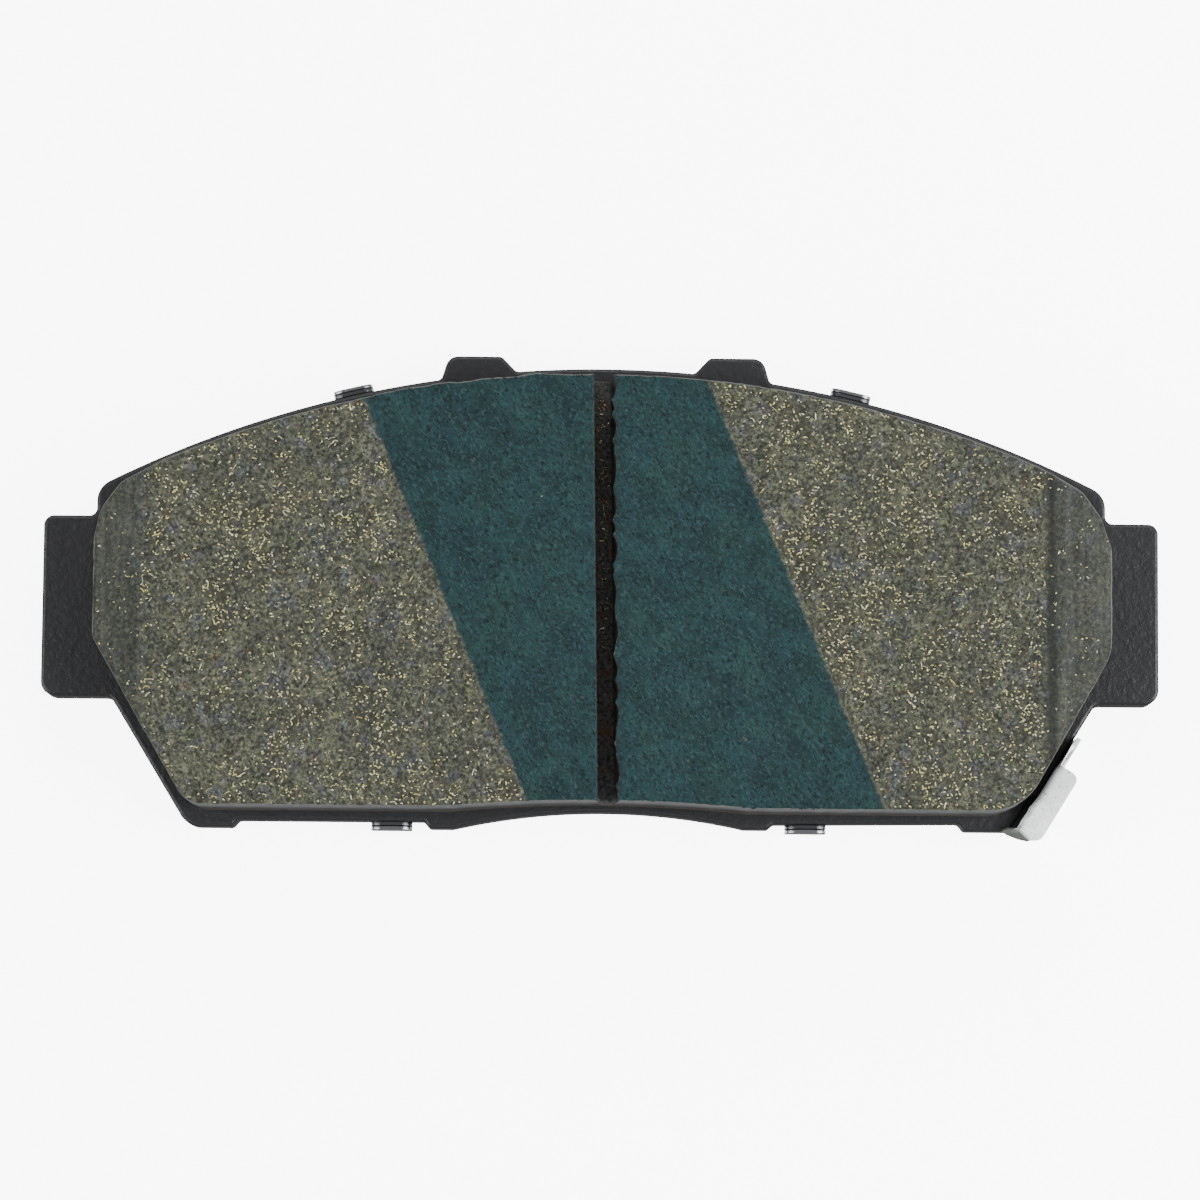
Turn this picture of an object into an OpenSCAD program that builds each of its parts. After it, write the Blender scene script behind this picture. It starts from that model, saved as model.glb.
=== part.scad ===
// Disc brake pad: pressed steel backing plate with a moulded friction block, a painted marking
// stripe, a stacked pair of anti-squeal shims and a riveted spring-steel wear indicator.
// The pad lies on its back: +Z points to the rotor, +X runs along the pad, +Y is its outer edge.
// The origin is on the outer shim's back face, where the piston presses.

/* [Backing plate] */
// Overall width across both ears
plate_w = 150; // [148:0.5:152]
// Thickness of the steel
plate_t = 5.5; // [5:0.1:6.5]
// Radius of the outer edge
edge_r = 147; // [146:0.5:148]
// Height of the outer edge at the middle
edge_top = 32.9; // [32.5:0.1:33.2]
// Top of each ear
ear_top = 12.4; // [11.5:0.1:13]
// Underside of each ear
ear_bottom = -12; // [-12.5:0.1:-11.5]
// Half width of the body between the ears
shoulder_x = 67.9; // [67.5:0.1:68.3]
// Height of the two bumps above the middle of the outer edge
bump_rise = 1.6; // [1:0.1:2.2]
// Bottom of the feet
foot_y = -29.35; // [-29.6:0.05:-29]
// Bottom edge between the feet
edge_bottom = -28.4; // [-28.6:0.1:-28]
// Rise of the shallow arch in the middle of the bottom edge
arch_rise = 2.2; // [1.5:0.1:2.5]

/* [Friction] */
// Thickness of the moulded underlayer
underlayer_t = 2; // [1.5:0.1:3]
// Thickness of the friction material
friction_t = 8.5; // [8:0.1:10]
// Gap between the friction's outer edge and the plate's
friction_margin = 2.3; // [1.8:0.1:2.6]
// Width of the slot
slot_w = 2.5; // [2:0.1:3.5]
// Centre of the slot
slot_x = 0.65; // [0:0.05:1.5]
// Lean of the slot away from the Y axis
slot_lean = 1; // [0:0.1:3]
// Friction material left under the slot
slot_floor = 1.6; // [1:0.1:3]
// Slope of the two end chamfers
chamfer_angle = 19; // [15:1:25]
// Where the chamfer on the +X end starts
chamfer_right = 58.9; // [57:0.1:61]
// Where the chamfer on the -X end starts
chamfer_left = -60.7; // [-61:0.1:-57]

/* [Marking stripe] */
// Width of the stripe along X
stripe_w = 47.6; // [30:0.2:50]
// Where the middle of the stripe crosses Y = 0
stripe_x = 3; // [0:0.1:5]
// Lean of the stripe away from the Y axis
stripe_lean = 22.6; // [15:0.1:30]

/* [Shims] */
// Thickness of the outer stainless shim
outer_shim_t = 0.4; // [0.3:0.05:0.5]
// Thickness of the inner shim's steel core
core_t = 0.45; // [0.4:0.05:0.6]
// Thickness of each rubber coat on the core
rubber_t = 0.15; // [0.1:0.01:0.2]
// Width of each clip tab
tab_w = 5.4; // [4:0.1:7]
// Height of the clip tabs up the plate's edge
tab_grip = 3.8; // [2.5:0.1:5]
// Distance of the upper tabs from the middle
upper_tab_x = 33.5; // [30:0.1:36]
// Distance of the lower tabs from the middle
lower_tab_x = 27.8; // [26.5:0.1:30]

/* [Wear indicator] */
// Thickness of the spring strip
strip_t = 0.6; // [0.5:0.05:0.7]
// Height of the lip's face above the plate's front face
lip_rise = 2.8; // [2:0.1:3.5]
// Reach of the lip away from the plate's edge
lip_reach = 3.15; // [2.8:0.05:3.5]
// Gap between the wall of the strip and the plate's edge
wall_gap = 0.25; // [0.2:0.01:0.35]

/* [Hidden] */
$fn = 64;
EPS = 0.01;
CUT = 100;                  // reach of a cutter past any outline

// Film thicknesses
adhesive_t = 0.1;
bond_t = 0.1;
paint_t = 0.15;             // the paint soaks in, so it lies level with the ground face

// Levels of the stack, from the back
core_z = outer_shim_t + rubber_t;
front_rubber_z = core_z + core_t;
adhesive_z = front_rubber_z + rubber_t;
plate_z = adhesive_z + adhesive_t;
plate_front = plate_z + plate_t;
underlayer_z = plate_front + bond_t;
friction_z = underlayer_z + underlayer_t;
friction_top = friction_z + friction_t;

// Plate outline
edge_cy = edge_top - edge_r;
edge_steps = 20;
shoulder_r = 3;
bump_cx = 0.45;
bump_inner = 12.05;         // from the bumps' middle to the foot of their inner and outer slopes
bump_outer = 22.2;
bump_inner_slope = 2;
bump_outer_slope = 1;
bump_inner_r = 0.9;
bump_outer_r = 1.8;
bump_foot_r = 0.8;
bump_clear = 1.2;           // the plain edge stops this far from a bump
bump_y = edge_top + bump_rise;
arch_half = 19.5;
arch_steps = 14;
foot_step_x = 48.6;
foot_step = 0.4;
heel_x = 23;
left_root_x = 65.6;
right_root_x = 66.5;
slant = 31.4;               // lean of the lower sides away from the Y axis
slant_run = tan(slant);
right_jog_y = -24.6;        // the +X lower side steps in here, towards its foot
jog = [1.2, 0.3];
foot_lift = 0.25;           // the lower edge rises a little towards +X: by this much at its foot
edge_lift = 0.3;            // and by this much at the end of the straight run before it

// Moulding holes through the plate, filled by the underlayer
lock_hole_r = 5;
lock_holes = [[-36, -1], [-14, 8], [16, 8], [38, -1]];

// Friction outline
friction_left = -67.4;
friction_right = 68;
friction_bottom = -27.15;
friction_arch_rise = 0.95;
friction_arch_half = 20;
friction_foot_left = -54.3;
friction_foot_right = 55.8;
friction_slant_run = 0.571;

// Shim outline
shim_margin = 1.2;
shim_half = 62;
shim_bottom = edge_bottom + shim_margin;
shim_heel_x = 53;
shim_hip_y = -9;
tab_gap_upper = 0.3;        // clearance of the inner tabs at the outer edge
tab_gap_lower = 0.06;       // and at the lower edge, where the shims bear
tab_nest_gap = 0.15;        // between an inner tab and the outer tab over it
tab_root = 4;               // length of a tab's foot within its sheet
adhesive_inset = 1.5;
outer_shim_inset = 0.8;
window_r = 2.2;
window_half = 5;
window_x = 34;
window_y = 2;
window_pitch = 9;

// Wear indicator, in a local frame on the +X slanted side:
// local X points away from the plate's edge, local Y runs up along it
indicator_y = -20;
indicator_x = right_root_x + (indicator_y - ear_bottom) * slant_run;
wall_low = -11.2;
wall_high = 4.3;
lip_high = -0.4;
lip_heel = [-0.4, -10.5];   // the corners of the lip's lower end, which slants
lip_toe = [2.95, -11.35];
lip_fold_y = -5;            // below here the lip reaches in over the plate, as far as its heel
lip_corner_r = 1.1;
tip_run = 1;                // the lower end turns down: reach and drop of the turned part
tip_drop = 2.3;
tip_w = 2.5;
tip_taper = 0.5;
tip_corner_r = 0.8;
bend_r = 0.95;              // outside radius of the bend between wall and lip
lip_top = plate_front + lip_rise;
foot_reach = 13;
foot_low = -5.5;
foot_high = 4.3;
wing = [2.6, -10.6];        // beside the bend the foot widens: its reach in from the edge, its lower end
wing_slope = 1;
rivet_x = -8;
rivet_y = -0.6;
rivet_r = 1.9;
rivet_head_r = 3.2;
rivet_head_t = 0.55;
rivet_depth = 4;
notch_clearance = 1;
knuckle_r = strip_t / 2;
knuckle_gap = 0.05;
knuckle_x = wall_gap + knuckle_r;
knuckle_z = plate_z - knuckle_r;

// ---- outline helpers: corners are [x, y, radius] ----
function flat(p) = [p.x, p.y];
function unit(v) = v / norm(v);
function signed_turn(a) = (a + 540) % 360 - 180;
function bearing(from, to) = atan2(to.y - from.y, to.x - from.x);

function arc_points(centre, r, start, turn) =
    let(steps = max(2, ceil(abs(turn) / 15)))
    [for (i = [0:steps]) centre + r * [cos(start + turn * i / steps), sin(start + turn * i / steps)]];

function fillet(before, at, after) =
    let(
        to_before = unit(flat(before) - flat(at)),
        to_after = unit(flat(after) - flat(at)),
        half = acos(to_before * to_after) / 2,
        tangent = at[2] / tan(half),
        start = flat(at) + tangent * to_before,
        finish = flat(at) + tangent * to_after,
        centre = flat(at) + unit(to_before + to_after) * at[2] / sin(half)
    )
    arc_points(centre, at[2], bearing(centre, start),
               signed_turn(bearing(centre, finish) - bearing(centre, start)));

function rounded(corners) =
    let(n = len(corners))
    [for (i = [0:n - 1])
        each corners[i][2] == 0
            ? [flat(corners[i])]
            : fillet(corners[(i + n - 1) % n], corners[i], corners[(i + 1) % n])];

// Points of a circular edge between two X positions; rise is +1 for a crown, -1 for a hollow
function arc_y(cy, r, x) = cy + sqrt(r * r - x * x);
function edge_run(cy, r, from, to, steps) =
    [for (i = [0:steps]) let(x = from + (to - from) * i / steps) [x, arc_y(cy, r, x), 0]];

// A shallow arch of a given half width and rise over a straight bottom edge, from -X to +X;
// its +X end is lifted by a given amount
function arch_run(base, half, rise, lift = 0) =
    let(r = (half * half + rise * rise) / (2 * rise))
    [for (p = edge_run(base + rise - r, r, -half, half, arch_steps))
        [p.x, p.y + lift * (p.x + half) / (2 * half), 0]];

function slant_x(root_x, y) = root_x + (y - ear_bottom) * slant_run;

// ---- backing plate ----
function bump(side) =
    let(
        base_in = bump_cx + side * bump_inner,
        base_out = bump_cx + side * bump_outer
    )
    [[base_out, arc_y(edge_cy, edge_r, base_out), bump_foot_r],
     [base_out - side * bump_outer_slope, bump_y, bump_outer_r],
     [base_in + side * bump_inner_slope, bump_y, bump_inner_r],
     [base_in, arc_y(edge_cy, edge_r, base_in), bump_foot_r]];

function reversed(list) = [for (i = [len(list) - 1:-1:0]) list[i]];

function plate_lower_left() =
    [[-plate_w / 2, ear_top, 1.4],
     [-plate_w / 2, ear_bottom, 2],
     [-left_root_x, ear_bottom, 1.6],
     [-slant_x(left_root_x, foot_y), foot_y, 3],
     [-foot_step_x - foot_step, foot_y, 0.7],
     [-foot_step_x + foot_step, edge_bottom, 0.7],
     [-heel_x - foot_step, edge_bottom, 0.3],
     [-heel_x + foot_step, foot_y, 0.6]];

function plate_lower_right() =
    [[heel_x - foot_step, foot_y + foot_lift, 0.6],
     [heel_x + foot_step, edge_bottom, 0.3],
     [foot_step_x - foot_step, edge_bottom + edge_lift, 0.7],
     [foot_step_x + foot_step, foot_y + foot_lift, 0.7],
     [slant_x(left_root_x, foot_y), foot_y + foot_lift, 0.4],
     [slant_x(right_root_x, right_jog_y) - jog.x, right_jog_y - jog.y, 0.4],
     [slant_x(right_root_x, right_jog_y), right_jog_y, 0.4],
     [right_root_x, ear_bottom, 1.6],
     [plate_w / 2, ear_bottom, 2],
     [plate_w / 2, ear_top, 1.4]];

function plate_outer_edge() =
    let(
        start = shoulder_x - shoulder_r,
        right_bump_out = bump_cx + bump_outer + bump_clear,
        right_bump_in = bump_cx + bump_inner - bump_clear,
        left_bump_in = bump_cx - bump_inner + bump_clear,
        left_bump_out = bump_cx - bump_outer - bump_clear
    )
    [[shoulder_x, ear_top, 1],
     [shoulder_x, arc_y(edge_cy, edge_r, shoulder_x), shoulder_r],
     each edge_run(edge_cy, edge_r, start, right_bump_out, edge_steps),
     each bump(1),
     each edge_run(edge_cy, edge_r, right_bump_in, left_bump_in, edge_steps / 2),
     each reversed(bump(-1)),
     each edge_run(edge_cy, edge_r, left_bump_out, -start, edge_steps),
     [-shoulder_x, arc_y(edge_cy, edge_r, shoulder_x), shoulder_r],
     [-shoulder_x, ear_top, 1]];

module plate_outline() {
    polygon(rounded([each plate_lower_left(),
                     each arch_run(foot_y, arch_half, arch_rise, foot_lift),
                     each plate_lower_right(),
                     each plate_outer_edge()]));
}

module at_lock_holes() {
    for (p = lock_holes) translate(p) children();
}

module on_slant() {
    translate([indicator_x, indicator_y, 0]) rotate([0, 0, -slant]) children();
}

module backing_plate() {
    color([0.13, 0.14, 0.16])
    difference() {
        translate([0, 0, plate_z]) linear_extrude(plate_t) plate_outline();
        translate([0, 0, plate_z - 1]) at_lock_holes() cylinder(r = lock_hole_r, h = plate_t + 2);
        on_slant() translate([rivet_x, rivet_y, plate_z - 1]) cylinder(r = rivet_r, h = rivet_depth + 1);
    }
}

// ---- friction stack ----
module friction_outline() {
    polygon(rounded([
        [friction_left, 8, 4],
        [friction_left, -4.7, 4],
        [friction_foot_left, friction_bottom, 4],
        each arch_run(friction_bottom, friction_arch_half, friction_arch_rise),
        [friction_foot_right, friction_bottom, 7.5],
        [friction_right, friction_bottom + (friction_right - friction_foot_right) / friction_slant_run, 7],
        [friction_right, 8, 4],
        [66.5, 12.3, 4],
        [63.8, 15.7, 4],
        each edge_run(edge_cy - friction_margin, edge_r, 58, -58, 2 * edge_steps),
        [-63.8, 15.7, 4],
        [-66.5, 12.3, 4]]));
}

module bond_film() {
    color([0.1, 0.09, 0.08])
    translate([0, 0, plate_front]) linear_extrude(bond_t)
        difference() {
            friction_outline();
            at_lock_holes() circle(r = lock_hole_r);
        }
}

// The underlayer runs through the plate's moulding holes and locks the friction to it
module underlayer() {
    color([0.3, 0.29, 0.27]) {
        translate([0, 0, underlayer_z]) linear_extrude(underlayer_t) friction_outline();
        translate([0, 0, plate_z + 0.2]) at_lock_holes()
            cylinder(r = lock_hole_r, h = plate_t + bond_t - 0.2 + EPS);
    }
}

module chamfer_cut(start_x, side) {
    translate([start_x, -CUT / 2, friction_top]) rotate([0, side * chamfer_angle, 0])
        translate([side > 0 ? 0 : -CUT, 0, 0]) cube([CUT, CUT, CUT]);
}

// Places its children in the slot's own axes: X across it, Y along it
module in_slot() {
    translate([slot_x, 0, 0]) rotate([0, 0, slot_lean]) children();
}

module friction_block() {
    color([0.42, 0.4, 0.35])
    difference() {
        translate([0, 0, friction_z]) linear_extrude(friction_t) friction_outline();
        translate([0, 0, friction_z + slot_floor]) linear_extrude(friction_t)
            in_slot() square([slot_w, CUT], center = true);
        chamfer_cut(chamfer_right, 1);
        chamfer_cut(chamfer_left, -1);
        translate([0, 0, friction_top - paint_t]) linear_extrude(paint_t + 1) stripe_band();
    }
}

module stripe_band() {
    lean_x = CUT / 2 * tan(stripe_lean);
    translate([stripe_x, 0])
        polygon([[-stripe_w / 2 - lean_x, CUT / 2], [-stripe_w / 2 + lean_x, -CUT / 2],
                 [stripe_w / 2 + lean_x, -CUT / 2], [stripe_w / 2 - lean_x, CUT / 2]]);
}

// The stripe is sprayed before the slot is cut, so the slot parts it in two
module marking_stripe(side) {
    color([0.18, 0.32, 0.31])
    translate([0, 0, friction_top - paint_t]) linear_extrude(paint_t)
        intersection() {
            friction_outline();
            stripe_band();
            in_slot() translate([side * (slot_w + CUT) / 2, 0]) square(CUT, center = true);
        }
}

module marking_stripe_left() { marking_stripe(-1); }
module marking_stripe_right() { marking_stripe(1); }

// ---- shims ----
module foot_notch() {
    on_slant() translate([-foot_reach - notch_clearance, foot_low - notch_clearance])
        square([foot_reach + 20, foot_high - foot_low + 2 * notch_clearance]);
}

module shim_outline(inset) {
    half = shim_half - inset;
    cy = edge_cy - shim_margin - inset;
    difference() {
        polygon(rounded([
            [-half, shim_hip_y, 3],
            [-shim_heel_x + inset, shim_bottom + inset, 3],
            each arch_run(shim_bottom + inset, arch_half, arch_rise),
            [shim_heel_x - inset, shim_bottom + inset, 3],
            [half, shim_hip_y, 3],
            [half, arc_y(cy, edge_r, half), 3],
            each edge_run(cy, edge_r, half - 3, 3 - half, 2 * edge_steps),
            [-half, arc_y(cy, edge_r, half), 3]]));
        foot_notch();
    }
}

// Places a tab at the plate's outer or lower edge with its local X pointing out of the edge
module at_tab(side, upper) {
    if (upper) {
        bearing_out = asin(upper_tab_x / edge_r);
        translate([0, edge_cy, 0]) rotate([0, 0, 90 - side * bearing_out])
            translate([edge_r, 0, 0]) children();
    } else {
        translate([side * lower_tab_x, edge_bottom, 0]) rotate([0, 0, -90]) children();
    }
}

// Section of a tab: a strip that leaves its sheet, turns up round a bend and grips the edge
module tab_section(gap, sheet_t, z, top) {
    bend_r = sheet_t + 0.1;
    wall_x = gap + sheet_t;
    translate([-tab_root, z]) square([tab_root + wall_x - bend_r, sheet_t]);
    translate([gap, z + bend_r]) square([sheet_t, top - z - bend_r]);
    intersection() {
        translate([wall_x - bend_r, z + bend_r]) difference() {
            circle(r = bend_r);
            circle(r = bend_r - sheet_t);
        }
        translate([wall_x - bend_r - EPS, z]) square([bend_r + EPS, bend_r + EPS]);
    }
}

module tabs(sheet_t, z, extra_gap) {
    for (side = [-1, 1], upper = [true, false])
        at_tab(side, upper)
            translate([0, tab_w / 2, 0]) rotate([90, 0, 0]) linear_extrude(tab_w)
                tab_section((upper ? tab_gap_upper : tab_gap_lower) + extra_gap, sheet_t, z,
                            plate_z + tab_grip);
}

module shim_adhesive() {
    color([0.75, 0.7, 0.5])
    translate([0, 0, adhesive_z]) linear_extrude(adhesive_t) shim_outline(adhesive_inset);
}

module inner_shim_front_rubber() {
    color([0.08, 0.08, 0.08])
    translate([0, 0, front_rubber_z]) linear_extrude(rubber_t) shim_outline(0);
}

module inner_shim_core() {
    color([0.45, 0.46, 0.48]) {
        translate([0, 0, core_z]) linear_extrude(core_t) shim_outline(0);
        tabs(core_t, core_z, 0);
    }
}

module inner_shim_back_rubber() {
    color([0.08, 0.08, 0.08])
    translate([0, 0, outer_shim_t]) linear_extrude(rubber_t) shim_outline(0);
}

module shim_window() {
    hull() for (end = [-1, 1]) translate([end * window_half, 0]) circle(r = window_r, $fn = 32);
}

module outer_shim() {
    color([0.7, 0.71, 0.72]) {
        linear_extrude(outer_shim_t) difference() {
            shim_outline(outer_shim_inset);
            for (side = [-1, 1], row = [-1, 0, 1])
                translate([side * window_x, window_y + row * window_pitch]) shim_window();
        }
        tabs(outer_shim_t, 0, core_t + tab_nest_gap);
    }
}

// ---- wear indicator ----
// Foot: lies flat on the back of the plate and stops at the bend, where the reed takes over
module wear_indicator_foot() {
    length = foot_high - wing.y;
    socket_r = knuckle_r + knuckle_gap;
    color([0.72, 0.74, 0.75])
    on_slant() difference() {
        translate([0, 0, plate_z - strip_t]) linear_extrude(strip_t)
            polygon([[-foot_reach, foot_low], [-wing.x - wing_slope, foot_low], [-wing.x, wing.y],
                     [knuckle_x, wing.y], [knuckle_x, foot_high], [-foot_reach, foot_high]]);
        translate([rivet_x, rivet_y, 0]) cylinder(r = rivet_r, h = plate_z + 1);
        translate([knuckle_x, wing.y - 1, knuckle_z]) rotate([-90, 0, 0]) cylinder(r = socket_r, h = length + 2);
        translate([knuckle_x - socket_r, wing.y - 1, knuckle_z]) cube([2 * socket_r, length + 2, strip_t]);
    }
}

// The wall stands on the bend's axis, where its rounded foot meets the strip's flat foot
module reed_wall() {
    height = lip_top - bend_r - knuckle_z;
    translate([wall_gap, wall_low, knuckle_z]) rotate([90, 0, 90]) linear_extrude(strip_t)
        polygon(rounded([[0, 0, 0], [wall_high - wall_low, 0, 0],
                         [wall_high - wall_low, height, 1.6], [0, height, 0.5]]));
    translate([knuckle_x, wall_low, knuckle_z]) rotate([-90, 0, 0])
        cylinder(r = knuckle_r, h = wall_high - wall_low);
}

// The lip turns out of the top of the wall round a bend
module reed_lip() {
    intersection() {
        translate([0, lip_high, 0]) rotate([90, 0, 0]) linear_extrude(lip_high - lip_toe.y)
            polygon(rounded([[wall_gap, lip_top - 2 * bend_r, 0],
                             [wall_gap + strip_t, lip_top - 2 * bend_r, 0],
                             [wall_gap + strip_t, lip_top - strip_t, bend_r - strip_t],
                             [lip_reach, lip_top - strip_t, 0],
                             [lip_reach, lip_top, 0],
                             [wall_gap, lip_top, bend_r]]));
        linear_extrude(lip_top + 1) lip_outline(0);
    }
    translate([0, 0, lip_top - strip_t]) linear_extrude(strip_t) lip_outline(wall_gap + bend_r);
}

// The lip from above; its inner edge starts at inner_x and ends at the heel
module lip_outline(inner_x) {
    polygon(rounded([[inner_x, lip_high, 0], [wall_gap, lip_fold_y, 0], [lip_heel.x, lip_heel.y, 0],
                     [lip_toe.x, lip_toe.y, lip_corner_r], [lip_reach, lip_high, lip_corner_r]]));
}

// The lip's lower end turns down, so that the rotor rides up onto it
module reed_tip() {
    tip_length = norm([tip_run, tip_drop]);
    translate([lip_heel.x, lip_heel.y, lip_top])
        rotate([0, 0, bearing(lip_heel, lip_toe)]) rotate([atan2(-tip_drop, -tip_run), 0, 0])
            linear_extrude(strip_t)
                polygon(rounded([[0, 0, 0], [tip_w, 0, 0], [tip_w - tip_taper, tip_length, tip_corner_r],
                                 [0, tip_length, tip_corner_r]]));
}

// Reed: stands up along the plate's edge and carries the lip that touches a worn pad's rotor
module wear_indicator_reed() {
    color([0.72, 0.74, 0.75])
    on_slant() {
        reed_wall();
        reed_lip();
        reed_tip();
    }
}

// Drive rivet: domed head under the foot, shank pressed into a blind hole in the plate
module wear_indicator_rivet() {
    head_z = plate_z - strip_t;
    dome_r = (rivet_head_r * rivet_head_r + rivet_head_t * rivet_head_t) / (2 * rivet_head_t);
    color([0.6, 0.61, 0.62])
    on_slant() translate([rivet_x, rivet_y, 0]) {
        intersection() {
            translate([0, 0, head_z - rivet_head_t + dome_r]) sphere(r = dome_r, $fn = 128);
            cylinder(r = rivet_head_r + 1, h = head_z);
        }
        translate([0, 0, head_z - EPS]) cylinder(r = rivet_r, h = strip_t + rivet_depth);
    }
}

backing_plate();
bond_film();
underlayer();
friction_block();
marking_stripe_left();
marking_stripe_right();
shim_adhesive();
inner_shim_front_rubber();
inner_shim_core();
inner_shim_back_rubber();
outer_shim();
wear_indicator_foot();
wear_indicator_reed();
wear_indicator_rivet();
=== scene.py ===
import contextlib
import functools
import math

import bmesh
import bpy
import numpy as np
from mathutils import Matrix, Vector


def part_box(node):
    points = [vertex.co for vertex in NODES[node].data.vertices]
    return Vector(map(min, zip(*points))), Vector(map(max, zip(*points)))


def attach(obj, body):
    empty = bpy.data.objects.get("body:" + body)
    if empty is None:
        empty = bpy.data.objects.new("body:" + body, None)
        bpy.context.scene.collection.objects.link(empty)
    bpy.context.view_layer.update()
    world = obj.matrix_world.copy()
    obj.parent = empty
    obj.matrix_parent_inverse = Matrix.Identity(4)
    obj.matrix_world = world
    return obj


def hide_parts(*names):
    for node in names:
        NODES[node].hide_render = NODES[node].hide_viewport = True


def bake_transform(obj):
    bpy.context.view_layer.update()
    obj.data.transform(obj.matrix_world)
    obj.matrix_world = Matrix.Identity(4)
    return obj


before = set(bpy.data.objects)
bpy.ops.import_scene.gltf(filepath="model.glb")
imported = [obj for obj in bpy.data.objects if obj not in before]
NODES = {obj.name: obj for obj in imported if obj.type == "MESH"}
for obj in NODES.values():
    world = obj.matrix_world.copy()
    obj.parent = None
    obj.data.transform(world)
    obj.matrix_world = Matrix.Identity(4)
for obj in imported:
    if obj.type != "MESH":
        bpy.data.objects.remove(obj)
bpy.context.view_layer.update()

# The shapes below are worked out in millimetres in the frame's axes, and scaled once, in make_mesh.
MM = 0.001


def level(node, side):
    """Height of a CAD node's underside (0) or top (1), in mm."""
    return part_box(node)[side].z / MM


PLATE_BACK = level("backing_plate", 0)
PLATE_FRONT = level("backing_plate", 1)
UNDERLAYER_LOW = level("bond_film", 1)
FRICTION_LOW = level("friction_block", 0)
FRICTION_TOP = level("friction_block", 1)
LIP_TOP = level("wear_indicator_reed", 1)
FRICTION_LEFT, FRICTION_RIGHT = (corner.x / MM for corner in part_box("friction_block"))
EAR_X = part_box("backing_plate")[1].x / MM


# ---------------------------------------------------------------- outlines
def fillet(before, at, after, radius, step=5.0):
    """Points that round one corner of an outline with an arc."""
    at = np.array(at, float)
    u = np.array(before, float) - at
    v = np.array(after, float) - at
    u /= np.linalg.norm(u)
    v /= np.linalg.norm(v)
    half = math.acos(float(np.clip(u @ v, -1, 1))) / 2
    start = at + u * radius / math.tan(half)
    finish = at + v * radius / math.tan(half)
    middle = (u + v) / np.linalg.norm(u + v)
    centre = at + middle * radius / math.sin(half)
    first = math.atan2(*(start - centre)[::-1])
    turn = math.atan2(*(finish - centre)[::-1]) - first
    turn = (turn + math.pi) % (2 * math.pi) - math.pi
    count = max(2, math.ceil(abs(turn) / math.radians(step)))
    angles = first + turn * np.arange(count + 1) / count
    return [centre + radius * np.array([math.cos(a), math.sin(a)]) for a in angles]


def rounded(corners):
    """A closed outline from corners (x, y, radius), where radius 0 keeps the point."""
    points = []
    for i, (x, y, radius) in enumerate(corners):
        if radius == 0:
            points.append(np.array([x, y], float))
        else:
            before = corners[i - 1][:2]
            after = corners[(i + 1) % len(corners)][:2]
            points += fillet(before, (x, y), after, radius)
    return np.array(points)


EDGE_R = 147.0
EDGE_CY = 32.9 - EDGE_R
EAR_BOTTOM = -12.0
EAR_TOP = 12.4
FOOT_Y = -29.35
EDGE_BOTTOM = -28.4
FOOT_LIFT = 0.25
EDGE_LIFT = 0.3
SLANT = math.radians(31.4)
LEFT_ROOT = 65.6
RIGHT_ROOT = 66.5
SHOULDER = 67.9
BUMP_CENTRE = 0.45


def crown(x, inset=0.0):
    """Height of the plate's round outer edge, or of an edge drawn inside it."""
    return EDGE_CY - inset + math.sqrt(EDGE_R ** 2 - x ** 2)


def crown_run(start, end, count, inset=0.0):
    return [(x, crown(x, inset), 0) for x in np.linspace(start, end, count)]


def arch_run(base, half, rise, lift=0.0, count=30):
    """The shallow arch in a lower edge, from -X to +X, where its end is lifted a little."""
    radius = (half ** 2 + rise ** 2) / (2 * rise)
    centre = base + rise - radius
    return [(x, centre + math.sqrt(radius ** 2 - x ** 2) + lift * (x + half) / (2 * half), 0)
            for x in np.linspace(-half, half, count)]


def slant_x(root, y):
    return root + (y - EAR_BOTTOM) * math.tan(SLANT)


def bump(side):
    """The locating bump on the outer edge, from its outer foot to its inner one."""
    inner = BUMP_CENTRE + side * 12.05
    outer = BUMP_CENTRE + side * 22.2
    return [(outer, crown(outer), 0.8), (outer - side, 34.5, 1.8),
            (inner + side * 2, 34.5, 0.9), (inner, crown(inner), 0.8)]


def plate_outline():
    jog_y = -24.6
    jog_x = slant_x(RIGHT_ROOT, jog_y)
    start = SHOULDER - 3
    right_foot = FOOT_Y + FOOT_LIFT
    return rounded([
        (-EAR_X, EAR_TOP, 1.4), (-EAR_X, EAR_BOTTOM, 2), (-LEFT_ROOT, EAR_BOTTOM, 1.6),
        (-slant_x(LEFT_ROOT, FOOT_Y), FOOT_Y, 3), (-49, FOOT_Y, 0.7), (-48.2, EDGE_BOTTOM, 0.7),
        (-23.4, EDGE_BOTTOM, 0.3), (-22.6, FOOT_Y, 0.6),
        *arch_run(FOOT_Y, 19.5, 2.2, FOOT_LIFT),
        (22.6, right_foot, 0.6), (23.4, EDGE_BOTTOM, 0.3), (48.2, EDGE_BOTTOM + EDGE_LIFT, 0.7),
        (49, right_foot, 0.7), (slant_x(LEFT_ROOT, FOOT_Y), right_foot, 0.4),
        (jog_x - 1.2, jog_y - 0.3, 0.4), (jog_x, jog_y, 0.4),
        (RIGHT_ROOT, EAR_BOTTOM, 1.6), (EAR_X, EAR_BOTTOM, 2), (EAR_X, EAR_TOP, 1.4),
        (SHOULDER, EAR_TOP, 1), (SHOULDER, crown(SHOULDER), 3),
        *crown_run(start, BUMP_CENTRE + 23.4, 60), *bump(1),
        *crown_run(BUMP_CENTRE + 10.85, BUMP_CENTRE - 10.85, 30), *bump(-1)[::-1],
        *crown_run(BUMP_CENTRE - 23.4, -start, 60),
        (-SHOULDER, crown(SHOULDER), 3), (-SHOULDER, EAR_TOP, 1)])


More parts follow.
